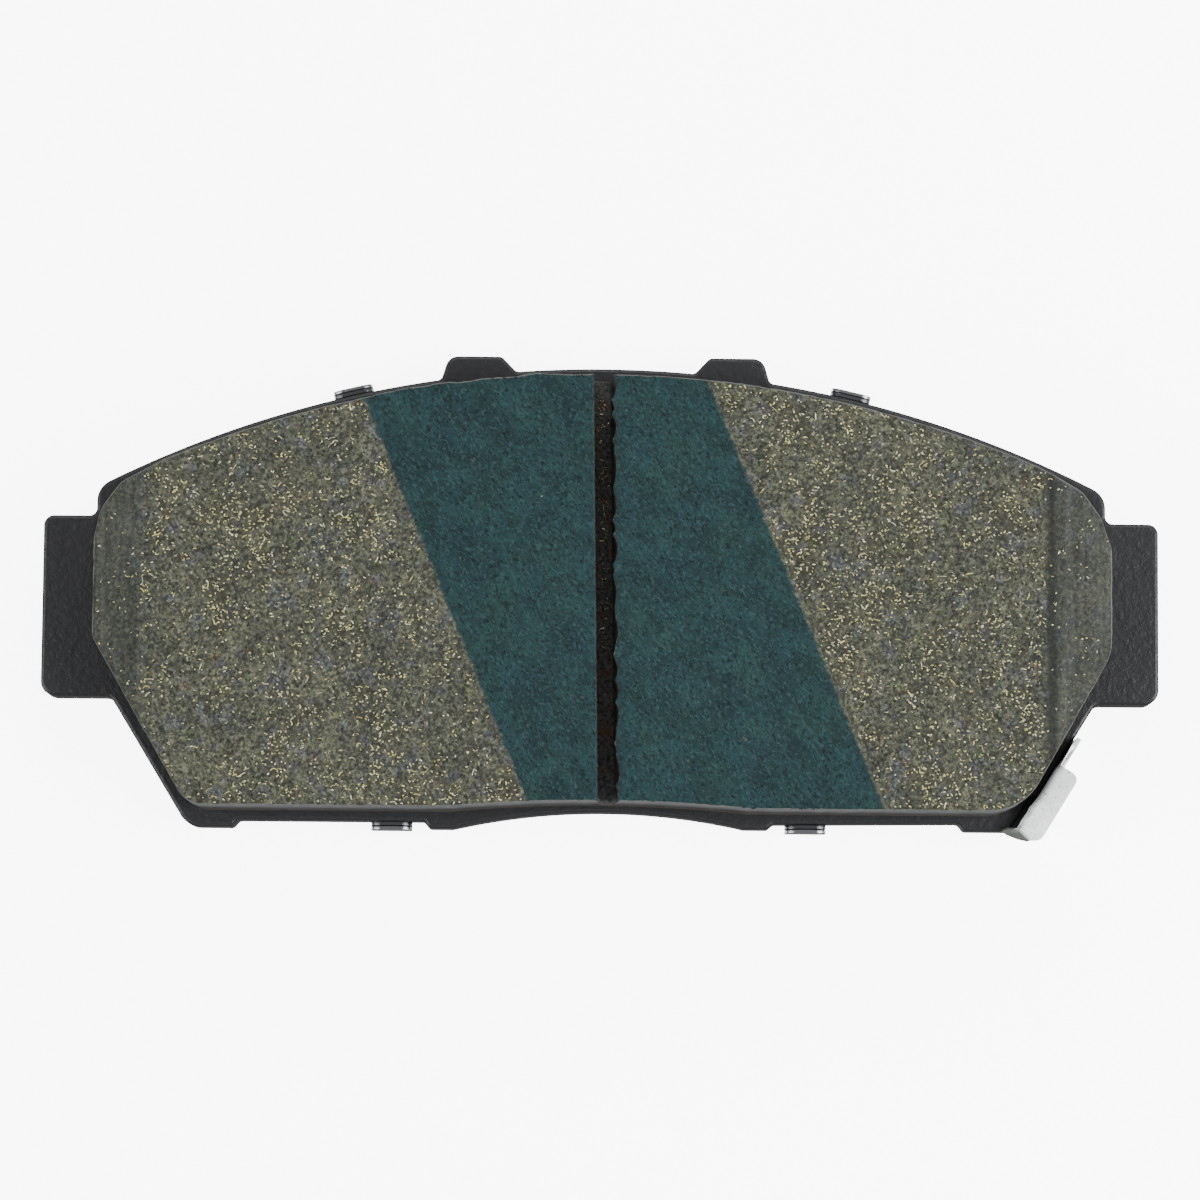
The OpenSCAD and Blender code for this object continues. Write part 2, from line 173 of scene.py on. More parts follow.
FRICTION_INSET = 2.3
FRICTION_BOTTOM = -27.15
FRICTION_SLANT_RUN = 0.571
FRICTION_FOOT_LEFT = -54.3
FRICTION_FOOT_RIGHT = 55.8


def friction_outline():
    right_y = FRICTION_BOTTOM + (FRICTION_RIGHT - FRICTION_FOOT_RIGHT) / FRICTION_SLANT_RUN
    return rounded([
        (FRICTION_LEFT, 8, 4), (FRICTION_LEFT, -4.7, 4), (FRICTION_FOOT_LEFT, FRICTION_BOTTOM, 4),
        *arch_run(FRICTION_BOTTOM, 20, 0.95),
        (FRICTION_FOOT_RIGHT, FRICTION_BOTTOM, 7.5), (FRICTION_RIGHT, right_y, 7),
        (FRICTION_RIGHT, 8, 4), (66.5, 12.3, 4), (63.8, 15.7, 4),
        *crown_run(58, -58, 120, FRICTION_INSET),
        (-63.8, 15.7, 4), (-66.5, 12.3, 4)])


def distance_along(points):
    return np.concatenate([[0], np.cumsum(np.linalg.norm(np.diff(points, axis=0), axis=1))])


def resampled(outline, spacing):
    """The same closed outline with evenly spaced points."""
    closed = np.vstack([outline, outline[:1]])
    run = distance_along(closed)
    count = max(8, int(round(run[-1] / spacing)))
    at = np.linspace(0, run[-1], count, endpoint=False)
    return np.column_stack([np.interp(at, run, closed[:, k]) for k in (0, 1)])


def outward(outline):
    """Unit normals of a closed outline, pointing out of it."""
    along = np.roll(outline, -1, axis=0) - np.roll(outline, 1, axis=0)
    normal = np.column_stack([along[:, 1], -along[:, 0]])
    normal /= np.linalg.norm(normal, axis=1)[:, None]
    x, y = outline.T
    area = np.sum(x * np.roll(y, -1) - y * np.roll(x, -1))
    return normal if area > 0 else -normal


# ---------------------------------------------------------------- noise
@functools.lru_cache(maxsize=None)
def noise_table(seed, size):
    return np.random.RandomState(seed).rand(size, size) * 2 - 1


def value_noise(x, y, cell, seed):
    """Smooth seeded noise from -1 to 1 with features the size of cell."""
    size = 251
    table = noise_table(seed, size)
    gx = np.asarray(x, float) / cell + 97.3
    gy = np.asarray(y, float) / cell + 61.7
    ix, iy = np.floor(gx).astype(int), np.floor(gy).astype(int)
    fx, fy = gx - ix, gy - iy
    fx = fx * fx * (3 - 2 * fx)
    fy = fy * fy * (3 - 2 * fy)
    a, b = table[ix % size, iy % size], table[(ix + 1) % size, iy % size]
    c, d = table[ix % size, (iy + 1) % size], table[(ix + 1) % size, (iy + 1) % size]
    return (a * (1 - fx) + b * fx) * (1 - fy) + (c * (1 - fx) + d * fx) * fy


def fractal(x, y, cell, seed, octaves=3):
    total = sum(value_noise(x, y, cell / 2 ** k, seed + k) / 2 ** k for k in range(octaves))
    return total / sum(0.5 ** k for k in range(octaves))


def ragged(x, cell, seed, octaves=3):
    """Fractal noise along a line."""
    return fractal(x, 0 * x, cell, seed, octaves)


def smooth(low, high, x):
    t = np.clip((np.asarray(x, float) - low) / (high - low), 0, 1)
    return t * t * (3 - 2 * t)


# ---------------------------------------------------------------- mesh helpers
def mark(obj, name, values):
    """Stores a number for a shader on each vertex; those past the end of values get 0."""
    layer = obj.data.attributes.new(name, "FLOAT", "POINT")
    whole = np.zeros(len(layer.data), np.float32)
    whole[:len(values)] = values
    layer.data.foreach_set("value", whole)


@contextlib.contextmanager
def opened(mesh):
    """The mesh as a bmesh, written back at the end of the with block."""
    bm = bmesh.new()
    bm.from_mesh(mesh)
    yield bm
    bm.to_mesh(mesh)
    bm.free()


def placed(name, data):
    """A new object in the scene."""
    obj = bpy.data.objects.new(name, data)
    bpy.context.scene.collection.objects.link(obj)
    return obj


def make_mesh(name, points, faces, materials, index=None):
    """A mesh object from points in mm. index gives each face's material."""
    mesh = bpy.data.meshes.new(name)
    points = np.asarray(points, float) * MM
    mesh.from_pydata(points.tolist(), [], [list(map(int, f)) for f in faces])
    for material in materials:
        mesh.materials.append(material)
    if index is not None:
        mesh.polygons.foreach_set("material_index", np.asarray(index, np.int32))
    mesh.polygons.foreach_set("use_smooth", np.full(len(mesh.polygons), True))
    with opened(mesh) as bm:
        bmesh.ops.recalc_face_normals(bm, faces=bm.faces)
    mesh.update()
    return placed(name, mesh)


def ring_faces(first, second, count):
    """Quads between two closed rings that start at vertex numbers first and second."""
    return [(first + i, first + (i + 1) % count, second + (i + 1) % count, second + i)
            for i in range(count)]


def grid_faces(rows, columns):
    r, c = np.meshgrid(np.arange(rows - 1), np.arange(columns - 1), indexing="ij")
    a = (r * columns + c).ravel()
    return np.column_stack([a, a + 1, a + columns + 1, a + columns])


def grid_rim(rows, columns):
    """The numbers of a grid's border vertices, once round."""
    number = np.arange(rows * columns).reshape(rows, columns)
    return np.concatenate([number[0, :], number[1:, -1], number[-1, -2::-1], number[-2:0:-1, 0]])


def closed_shell(rows, columns):
    """Faces of two matching grids, one above the other, joined round their rim."""
    count = rows * columns
    faces = grid_faces(rows, columns)
    rim = grid_rim(rows, columns)
    following = np.roll(rim, -1)
    sides = np.column_stack([rim, following, following + count, rim + count])
    return np.vstack([faces, faces[:, ::-1] + count, sides])


def stacked(name, rings, material):
    """A solid from a pile of matching rings, closed flat at both ends."""
    count = len(rings[0])
    last = (len(rings) - 1) * count
    faces = [face for first in range(0, last, count) for face in ring_faces(first, first + count, count)]
    faces += [tuple(range(count))[::-1], tuple(range(last, last + count))]
    return make_mesh(name, np.vstack(rings), faces, [material])


def slab(name, outline, profile, material, rough, rough_cell, seed):
    """A plate with a lumpy, shaped edge: profile is a list of (inset, height) from back to front."""
    normal, run = outward(outline), distance_along(outline)
    rings = []
    for inset, height in profile:
        z = np.full(len(outline), height)
        lump = rough * (1 + fractal(run, z, rough_cell, seed)) / 2
        rings.append(np.column_stack([outline - normal * (inset + lump)[:, None], z]))
    return stacked(name, rings, material)


def piece(obj, body, slot, *nodes):
    """Hangs a new object on the body it rides on and hides the CAD nodes it stands for; its slot, the finish
    it takes, is not used.
    """
    if body:
        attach(obj, body)
    if nodes:
        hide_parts(*nodes)
    return obj


# ---------------------------------------------------------------- materials
def darker(colour, share):
    return tuple(c * share for c in colour)


class Shader:
    """A small builder of procedural materials. Texture sizes are in mm."""

    def __init__(self, name, roughness, metallic=0.0, specular=0.5):
        self.material = bpy.data.materials.new(name)
        self.material.use_nodes = True
        self.tree = self.material.node_tree
        self.surface = self.tree.nodes["Principled BSDF"]
        self.coords = self.node("ShaderNodeTexCoord", "Object")
        self.set("Roughness", roughness)
        self.set("Metallic", metallic)
        self.set("Specular IOR Level", specular)

    def link(self, value, socket):
        if isinstance(value, bpy.types.NodeSocket):
            self.tree.links.new(value, socket)
        elif isinstance(value, (tuple, list)) and len(value) == 3 and socket.type == "RGBA":
            socket.default_value = (*value, 1)
        else:
            socket.default_value = value

    def set(self, socket, value):
        self.link(value, self.surface.inputs[socket])

    def colour(self, value):
        self.set("Base Color", value)

    def node(self, kind, output, inputs=None, **settings):
        """Adds a node and hands back one of its outputs. inputs are values or other nodes' outputs."""
        made = self.tree.nodes.new(kind)
        for key, value in settings.items():
            setattr(made, key, value)
        for key, value in (inputs or {}).items():
            self.link(value, made.inputs[key])
        return made.outputs[output]

    def stretched(self, stretch, degrees=0.0):
        """The pad's coordinates, turned about Z and then stretched."""
        turned = self.node("ShaderNodeMapping", "Vector",
                           {"Vector": self.coords, "Rotation": (0, 0, math.radians(degrees))})
        return self.node("ShaderNodeMapping", "Vector", {"Vector": turned, "Scale": stretch})

    def noise(self, size, detail=3.0, rough=0.55, distort=0.0, vector=None, offset=0.0):
        inputs = {"Vector": vector or self.coords, "W": offset, "Scale": 1 / (size * MM),
                  "Detail": detail, "Roughness": rough, "Distortion": distort}
        return self.node("ShaderNodeTexNoise", "Fac", inputs, noise_dimensions="4D")

    def cells(self, size, output="Distance", offset=0.0):
        inputs = {"Vector": self.coords, "W": offset, "Scale": 1 / (size * MM)}
        return self.node("ShaderNodeTexVoronoi", output, inputs, voronoi_dimensions="4D")

    def height(self):
        """Height above the pad's back."""
        return self.node("ShaderNodeSeparateXYZ", "Z", {0: self.coords})

    def attribute(self, name):
        return self.node("ShaderNodeAttribute", "Fac", attribute_name=name)

    def math(self, operation, a, b):
        return self.node("ShaderNodeMath", 0, {0: a, 1: b}, operation=operation)

    def between(self, value, low, high):
        """0 where value is at low, 1 where it is at high."""
        return self.node("ShaderNodeMapRange", "Result",
                         {"Value": value, "From Min": low, "From Max": high}, interpolation_type="SMOOTHSTEP")

    def mix(self, factor, a, b, blend="MIX"):
        return self.node("ShaderNodeMix", 2, {0: factor, 6: a, 7: b}, data_type="RGBA", blend_type=blend)

    def tint(self, base, mask, strength, colour):
        """The base with a colour over it where the mask is 1."""
        return self.mix(self.math("MULTIPLY", mask, strength), base, colour)

    def ramp(self, value, *stops):
        colour = self.node("ShaderNodeValToRGB", "Color", {"Fac": value})
        elements = colour.node.color_ramp.elements
        while len(elements) < len(stops):
            elements.new(0.5)
        for element, (position, stop) in zip(elements, stops):
            element.position = position
            element.color = (*stop, 1)
        return colour

    def bump(self, *layers):
        """Relief from (height, depth in mm) layers, one above another."""
        inputs = {}
        for height, depth in layers:
            inputs.update({"Height": height, "Distance": depth * MM})
            inputs["Normal"] = self.node("ShaderNodeBump", "Normal", inputs)
        self.set("Normal", inputs["Normal"])


def friction_colour(s):
    """The olive-grey mix: slate, rusty and mossy patches, grains of two sizes, pale and black specks."""
    base = s.ramp(s.noise(5.0, 4, 0.65), (0.36, (0.035, 0.037, 0.029)), (0.5, (0.044, 0.046, 0.034)),
                  (0.64, (0.055, 0.056, 0.040)))
    slate = s.between(s.noise(2.4, 3, 0.6, offset=5.0), 0.52, 0.66)
    base = s.tint(base, slate, 0.65, (0.049, 0.051, 0.056))
    rust = s.between(s.noise(2.0, 3, 0.6, offset=8.0), 0.62, 0.72)
    base = s.tint(base, rust, 0.4, (0.075, 0.046, 0.022))
    moss = s.between(s.noise(1.5, 2, 0.6, offset=14.0), 0.56, 0.68)
    base = s.tint(base, moss, 0.4, (0.048, 0.062, 0.030))
    for size, offset in ((0.45, 3.0), (0.26, 31.0)):
        grains = s.ramp(s.cells(size, "Color", offset), (0.2, (0.62, 0.62, 0.65)),
                        (0.5, (0.98, 0.98, 1.0)), (0.8, (1.5, 1.5, 1.45)))
        base = s.mix(1.0, base, grains, "MULTIPLY")
    pale = s.between(s.cells(0.9, offset=11.0), 0.2, 0.1)
    base = s.tint(base, pale, 0.5, (0.14, 0.145, 0.115))
    black = s.between(s.cells(0.95, offset=17.0), 0.24, 0.14)
    return s.tint(base, black, 0.85, (0.010, 0.010, 0.008))


def friction_material():
    """The ground face: darker among the fibres, streaked on the chamfers, paler along its rim."""
    s = Shader("friction_mix", 0.9, specular=0.12)
    base = s.tint(friction_colour(s), s.attribute("cluster"), 0.35, (0.026, 0.023, 0.015))
    streaks = s.noise(0.9, 4, 0.6, vector=s.stretched((1, 0.05, 1)), offset=2.0)
    ground = s.ramp(streaks, (0.32, (0.012, 0.014, 0.0145)), (0.5, (0.027, 0.030, 0.030)),
                    (0.68, (0.050, 0.054, 0.050)))
    base = s.mix(s.attribute("chamfer"), base, s.mix(0.5, base, ground))
    base = s.tint(base, s.attribute("score"), 0.7, (0.009, 0.010, 0.0095))
    rim = s.between(s.math("ADD", s.attribute("rim"), s.noise(0.9, 3, 0.6, offset=21.0)), 0.98, 1.25)
    s.colour(s.tint(base, rim, 0.75, (0.105, 0.108, 0.105)))
    s.bump((s.noise(1.6, 3, 0.6), 0.10), (s.noise(0.35, 3, 0.7, offset=4.0), 0.14),
           (s.cells(0.5, offset=9.0), 0.08))
    return s.material


def friction_side_material():
    """The moulded skin on the side walls: grey and smoother than the ground face, with painted shade
    darkening it lower down.
    """
    s = Shader("friction_skin", 0.5, specular=0.4)
    tone = s.noise(1.2, 4, 0.7, vector=s.stretched((0.5, 0.5, 1)))
    base = s.ramp(tone, (0.35, (0.115, 0.119, 0.124)), (0.5, (0.155, 0.160, 0.167)),
                  (0.65, (0.20, 0.206, 0.214)))
    speck = s.between(s.cells(0.9, offset=2.0), 0.22, 0.12)
    # painted shade: the wall is darkened towards its foot, where less light reaches it
    low = s.between(s.height(), (FRICTION_TOP - 2) * MM, (FRICTION_TOP - 7) * MM)
    base = s.mix(speck, base, (0.02, 0.02, 0.02))
    s.colour(s.tint(base, low, 0.8, (0.022, 0.023, 0.025)))
    s.bump((s.noise(0.8, 4, 0.65), 0.08), (s.noise(0.25, 2), 0.03))
    return s.material


def underlayer_material():
    """The darker layer under the friction mix, with a few pale grains."""
    s = Shader("underlayer_mix", 0.8, specular=0.2)
    base = s.ramp(s.noise(1.6, 4, 0.6), (0.35, (0.012, 0.012, 0.012)), (0.65, (0.035, 0.034, 0.032)))
    grain = s.between(s.cells(0.8, offset=4.0), 0.2, 0.1)
    s.colour(s.tint(base, grain, 0.6, (0.11, 0.10, 0.085)))
    s.bump((s.noise(0.6, 4, 0.65), 0.08))
    return s.material


def slot_material():
    """The saw-cut slot: grey on its floor with reddish-brown patches, and painted shade darkening its deep
    walls.
    """
    s = Shader("friction_slot", 0.95, specular=0.1)
    base = s.ramp(s.noise(0.5, 3, 0.7), (0.35, (0.030, 0.030, 0.030)), (0.65, (0.12, 0.12, 0.117)))
    rust = s.between(s.noise(2.6, 4, 0.6, offset=6.5), 0.54, 0.68)
    # painted shade: the walls from just above the floor upward are darkened as the slot's shade
    high = s.between(s.height(), (SLOT_FLOOR + 1.5) * MM, (SLOT_FLOOR + 4) * MM)
    base = s.tint(base, rust, 0.8, (0.13, 0.060, 0.028))
    s.colour(s.tint(base, high, 0.75, (0.012, 0.012, 0.011)))
    s.bump((s.noise(0.6, 4, 0.7), 0.10))
    return s.material


def brass_material(name, colour, roughness):
    s = Shader(name, roughness, metallic=1.0)
    s.colour(s.mix(s.attribute("tone"), darker(colour, 0.35), colour))
    s.bump((s.noise(0.15, 2), 0.01))
    return s.material


def paint_material():
    """Dark teal marking paint that dried in fine slanting wrinkles and lets the mix through at its border,
    with painted shade and highlight across its folds and painted highlights on its wrinkles.
    """
    s = Shader("marking_paint", 0.5, specular=0.14)
    along = s.stretched((1, 0.6, 1), -38)
    wrinkle = s.noise(0.42, 4, 0.75, 0.8, along)
    fold = s.noise(2.4, 3, 0.6, 0.6, along, 7.0)
    base = s.ramp(s.noise(5.0, 4, 0.6), (0.36, (0.0050, 0.0190, 0.0230)), (0.5, (0.0060, 0.0215, 0.0235)),
                  (0.64, (0.0072, 0.0240, 0.0215)))
    # painted shade and highlight: the colour darkens and lightens with the folds' relief
    base = s.mix(1.0, base, s.ramp(fold, (0.38, (0.72, 0.72, 0.72)), (0.6, (1.2, 1.2, 1.2))), "MULTIPLY")
    crack = s.between(s.noise(0.34, 4, 0.75, 0.6, along, 4.0), 0.48, 0.40)
    base = s.tint(base, crack, 0.9, (0.0008, 0.0040, 0.0048))
    # painted highlight: the wrinkles' crests are made lighter
    base = s.tint(base, s.between(wrinkle, 0.51, 0.61), 0.75, (0.015, 0.043, 0.045))
    bare_patch_and_painted_shade = s.between(s.noise(1.1, 3, 0.7, offset=9.0), 0.66, 0.74)
    base = s.tint(base, bare_patch_and_painted_shade, 0.7, (0.046, 0.050, 0.042))
    border = s.math("ADD", s.attribute("inside"), s.noise(0.6, 3, 0.7, offset=12.0))
    s.colour(s.mix(s.between(border, 0.62, 1.05), friction_colour(s), base))
    s.bump((fold, 0.3), (wrinkle, 0.13), (s.noise(0.3, 3, 0.7), 0.06))
    return s.material


def powder_coat_material():
    """Black powder coat with an orange peel."""
    s = Shader("black_powder_coat", 0.45, specular=0.32)
    s.colour(s.mix(s.noise(9.0, 3, offset=3.0), (0.0095, 0.0099, 0.0110), (0.0145, 0.0150, 0.0166)))
    s.bump((s.noise(0.8, 3, 0.6), 0.16), (s.noise(4.5, 2, offset=5.0), 0.06))
    return s.material


def steel_material(name, colour, roughness, grain_turn, mottle):
    """Rolled sheet: cloudy, with a fine grain along it."""
    s = Shader(name, roughness, metallic=1.0)
    grain = s.noise(0.35, 3, 0.6, vector=s.stretched((0.04, 1, 1), grain_turn))
    base = s.mix(s.noise(5.0, 4, 0.6, offset=2.0), darker(colour, 1 - mottle), colour)
    s.colour(s.tint(base, grain, 0.3, darker(colour, 0.7)))
    s.bump((grain, 0.012), (s.noise(1.5, 3, offset=7.0), 0.015))
    return s.material


def zinc_material():
    """Pale matt zinc plate: nearly white, finely speckled, with a few grey marks, and painted shade on the
    turned-down flap and on the wall and foot beside the gap.
    """
    s = Shader("zinc_plate", 0.45, metallic=0.1)
    base = s.ramp(s.noise(1.4, 4, 0.6), (0.35, (0.76, 0.79, 0.79)), (0.6, (0.95, 0.97, 0.97)))
    speck = s.between(s.noise(0.3, 3, 0.75, offset=2.0), 0.5, 0.6)
    stain = s.between(s.noise(0.6, 3, 0.6, offset=6.0), 0.62, 0.68)
    base = s.tint(base, speck, 0.4, (0.52, 0.55, 0.55))
    base = s.tint(base, stain, 0.7, (0.16, 0.17, 0.18))
    # painted shade: the flap and the wall and foot beside the gap, marked by the strip's attribute, take a
    # dark greenish grey
    s.colour(s.tint(base, s.attribute("bare_patch_and_painted_shade"), 0.93, (0.055, 0.066, 0.055)))
    s.bump((s.noise(0.3, 3, 0.65), 0.025), (s.noise(3.0, 2), 0.02))
    return s.material


def rubber_material():
    s = Shader("shim_rubber_coat", 0.75)
    s.colour(s.mix(s.noise(4.0, 3), (0.016, 0.016, 0.017), (0.032, 0.032, 0.033)))
    s.bump((s.noise(0.25, 3, 0.6), 0.02))
    return s.material


def bond_material():
    s = Shader("cured_bond", 0.5)
    s.colour(s.mix(s.noise(1.0, 3), (0.02, 0.018, 0.015), (0.05, 0.042, 0.03)))
    s.bump((s.noise(0.4, 2), 0.03))
    return s.material


# ---------------------------------------------------------------- friction block
CHAMFER_SLOPE = math.tan(math.radians(19))
CHAMFER_RIGHT = 58.9
CHAMFER_LEFT = -60.7
SLOT_LEFT = -0.6
SLOT_RIGHT = 1.65
SLOT_LEAN = math.tan(math.radians(1))
SLOT_FLOOR = FRICTION_LOW + 1.6
STRIPE_SLOPE = -0.416
STRIPE_LEFT = -20.8
STRIPE_RIGHT = 26.85
FACE_TALL = 58.0            # rough height of the face and width of half the stripe, for the grids
HALF_STRIPE = 24.0


def face_borders(outline):
    """The outline's lower and upper border, each as rows of x and y in order of x."""
    low, high = outline[:, 0].argmin(), outline[:, 0].argmax()
    ring = np.roll(outline, -low, axis=0)
    turn = (high - low) % len(outline)
    borders = [ring[:turn + 1], np.vstack([ring[turn:], ring[:1]])[::-1]]
    borders.sort(key=lambda border: border[:, 1].mean())
    # np.interp needs x to rise, so points above one another are set a hair apart
    return [np.column_stack([b[:, 0] + np.arange(len(b)) * 1e-7, b[:, 1]]) for b in borders]


FACE_LOWER, FACE_UPPER = face_borders(friction_outline())


def face_edges(x):
    """Lower and upper edge of the friction face above any x."""
    low = np.interp(x, *FACE_LOWER.T) + 0.05 * ragged(x, 2.2, 79, 2)
    # the outer edge is ragged where the mould's flash broke off, over the left bump
    flash = smooth(-33, -27, x) * smooth(-3, -8, x)
    high = np.interp(x, *FACE_UPPER.T) + 0.28 * flash * (0.4 + ragged(x, 2.6, 71))
    return low, high + 0.07 * ragged(x, 1.5, 75, 2)


def edge_gap(x, y):
    """Distance to the face's nearest border, along X or Y."""
    low, high = face_edges(x)
    return np.minimum(np.minimum(y - low, high - y), np.minimum(x - FRICTION_LEFT, FRICTION_RIGHT - x))


def slot_right_edge(y):
    """The slot's right edge at the face: uneven bites that the saw tore out, with cusps between them."""
    bite = 0.9 * np.sqrt(abs(value_noise(y, 0 * y, 2.7, 82)))
    return SLOT_RIGHT - SLOT_LEAN * y + bite + 0.12 * ragged(y, 0.9, 83) - 0.05


def slot_left_edge(y):
    return SLOT_LEFT - SLOT_LEAN * y + 0.035 * ragged(y, 1.2, 87)


def relief(x, y):
    """Height of the ground face below FRICTION_TOP: waves, grain and pits, always negative."""
    grain = fractal(x, y, 1.1, 11)
    pits = np.clip(value_noise(x, y, 1.2, 23) - 0.5, 0, 1) * 0.5
    wave = value_noise(x, y, 9.0, 29)
    return -0.16 + 0.045 * grain + 0.02 * wave - 0.16 * pits


def end_drop(x):
    """Drop of the two end chamfers."""
    right = np.clip(x - CHAMFER_RIGHT, 0, None) * CHAMFER_SLOPE
    left = np.clip(CHAMFER_LEFT - x, 0, None) * CHAMFER_SLOPE
    left = left + 0.12 * np.exp(-((x - CHAMFER_LEFT) / 1.2) ** 2)
    return right + left


def edge_wear(x, y):
    """Rounding and small chips along the face's outer edge."""
    gap = edge_gap(x, y)
    round_off = 0.16 * np.clip(1 - gap / 0.4, 0, 1) ** 2
    chip = np.clip(fractal(x, y, 1.6, 41, 2) - 0.15, 0, 1) * np.clip(1 - gap / 0.9, 0, 1)
    return round_off + 0.5 * chip


def face_height(x, y):
    return FRICTION_TOP + relief(x, y) - end_drop(x) - edge_wear(x, y)


def rows_at(count, tight=0.8):
    """Positions from 0 to 1 that crowd towards both ends."""
    s = np.linspace(0, 1, count)
    return (1 - tight) * s + tight * (3 * s ** 2 - 2 * s ** 3)


def columns_between(start, end, spacing):
    return np.linspace(start, end, max(2, int(round((end - start) / spacing)) + 1))


def face_columns(spacing):
    """The block's columns: x on the face left of the slot, (share of the way across the slot, share of the
    way down to its floor) round the slot, and x on the face right of it."""
    crowded = 4.5 * np.linspace(0, 1, 26) ** 1.7
    near_left, near_right = FRICTION_LEFT + crowded, (FRICTION_RIGHT - crowded)[::-1]
    left = columns_between(near_left[-1], SLOT_LEFT - 0.6, spacing)[1:]
    right = columns_between(SLOT_RIGHT + 1.2, near_right[0], spacing)[:-1]
    down = np.linspace(0, 1, 9)[1:]
    slot = [(0.0, d) for d in down] + [(f, 1.0) for f in down[:-1]] + [(1.0, d) for d in down[::-1]]
    return (np.concatenate([near_left, left, SLOT_LEFT - np.array([0.35, 0.15, 0.05, 0.0])]), np.array(slot),
            np.concatenate([SLOT_RIGHT + np.array([0.0, 0.07, 0.2, 0.45, 0.8]), right, near_right]))


def block_top(spacing):
    """The ground face with the slot let into it: a grid of points, and the slot's first and last column."""
    left, slot, right = face_columns(spacing)
    share, down = slot.T
    slot_from, slot_to = len(left), len(left) + len(slot)
    xs = np.concatenate([left, SLOT_LEFT + share * (SLOT_RIGHT - SLOT_LEFT), right])
    rows = rows_at(int(FACE_TALL / spacing))
    low, high = face_edges(xs)
    x = np.repeat(xs[None, :], len(rows), axis=0)
    y = low + (high - low) * rows[:, None]
    # the face follows the slot's ragged edges, less and less away from them
    pull_left = np.clip(1 - (SLOT_LEFT - xs) / 0.6, 0, 1) * (np.arange(len(xs)) < slot_from)
    pull_right = np.clip(1 - (xs - SLOT_RIGHT) / 2.0, 0, 1) * (np.arange(len(xs)) >= slot_to)
    lean = -SLOT_LEAN * y
    x = x + lean * np.clip(1 - abs(xs) / 20, 0, 1) * (1 - pull_left) * (1 - pull_right)
    x = x + pull_left * (slot_left_edge(y) - SLOT_LEFT) + pull_right * (slot_right_edge(y) - SLOT_RIGHT)
    z = face_height(x, y)
    # break-outs along the slot's right edge slope into it
    torn = np.clip(slot_right_edge(y) - SLOT_RIGHT - lean, 0, 1)
    near = np.clip(1 - (x - slot_right_edge(y)) / 0.35, 0, 1) * (np.arange(len(xs)) >= slot_to)
    z = z - 0.15 * torn * near ** 2 - 0.03 * pull_left ** 4
    # slot walls and floor
    cols = slice(slot_from, slot_to)
    ys = y[:, cols]
    edge_left, edge_right = slot_left_edge(ys), slot_right_edge(ys)
    foot_right = SLOT_RIGHT + lean[:, cols]
    top = np.where(share < 0.5, z[:, slot_from - 1][:, None], z[:, slot_to][:, None])
    z[:, cols] = top + (slot_ground(x[:, cols], ys) - top) * down
    lump = 0.05 * fractal(ys, z[:, cols], 0.8, 57)
    right_wall = edge_right + (foot_right - edge_right) * smooth(0.1, 1, down) + lump
    floor_x = edge_left + share * (foot_right - edge_left)
    x[:, cols] = np.where(share == 0, edge_left - lump * 0.6, np.where(share == 1, right_wall, floor_x))
    return np.stack([x, y, z], axis=-1), slot_from, slot_to


def block_side(rim, border, start):
    """The side wall under the face's rim, and the underside: points, and faces from vertex number start."""
    normal, run = outward(rim[:, :2]), distance_along(rim[:, :2])
    rings, faces = [], []
    previous = border
    for level_down in [0.012, 0.03, 0.07, *np.linspace(0.12, 1, 13)]:
        height = rim[:, 2] + (FRICTION_LOW - rim[:, 2]) * level_down
        lump = 0.05 * fractal(run, height, 1.4, 61) + 0.03 * smooth(0, 0.05, level_down)
        current = start + len(rings) * len(border) + np.arange(len(border))
        rings.append(np.column_stack([rim[:, :2] - normal * np.clip(lump, -0.02, 0.2)[:, None], height]))
        faces.append(np.column_stack([previous, np.roll(previous, -1), np.roll(current, -1), current]))
        previous = current
    return np.vstack(rings), [*map(tuple, np.vstack(faces)), tuple(previous[::-1])]


def friction_mesh(materials, spacing):
    """The whole block. materials: ground face, skin of the side walls, slot."""
    grid, slot_from, slot_to = block_top(spacing)
    rows, columns = grid.shape[:2]
    points = grid.reshape(-1, 3)
    border = grid_rim(rows, columns)
    side_points, side_faces = block_side(points[border], border, len(points))
    column = np.tile(np.arange(columns - 1), rows - 1)
    index = np.where((column >= slot_from - 1) & (column < slot_to), 2, 0)
    block = make_mesh("friction_block_body", np.vstack([points, side_points]),
                      [*map(tuple, grid_faces(rows, columns)), *side_faces], materials,
                      np.concatenate([index, np.full(len(side_faces), 1)]))
    x, y = points[:, 0], points[:, 1]
    worn = smooth(CHAMFER_RIGHT - 0.3, CHAMFER_RIGHT + 0.6, x)
    worn += smooth(CHAMFER_LEFT + 2.5, CHAMFER_LEFT - 1.5, x)
    mark(block, "chamfer", worn)
    mark(block, "rim", smooth(0.4, 0.02, edge_gap(x, y)))
    mark(block, "cluster", smooth(0.45, 0.8, cluster_at(x, y)) * (1 - np.clip(worn, 0, 1)))
    mark(block, "score", np.exp(-((x - CHAMFER_RIGHT - 0.8) / 0.7) ** 2))
    return block


# ---------------------------------------------------------------- marking stripe
def stripe_left_border(y):
    return STRIPE_LEFT + STRIPE_SLOPE * y + 0.12 * ragged(y, 1.6, 91)


def stripe_right_border(y):
    return STRIPE_RIGHT + STRIPE_SLOPE * y + 0.12 * ragged(y, 1.4, 95)


def in_stripe(x, y):
    return (x > stripe_left_border(y)) & (x < stripe_right_border(y))


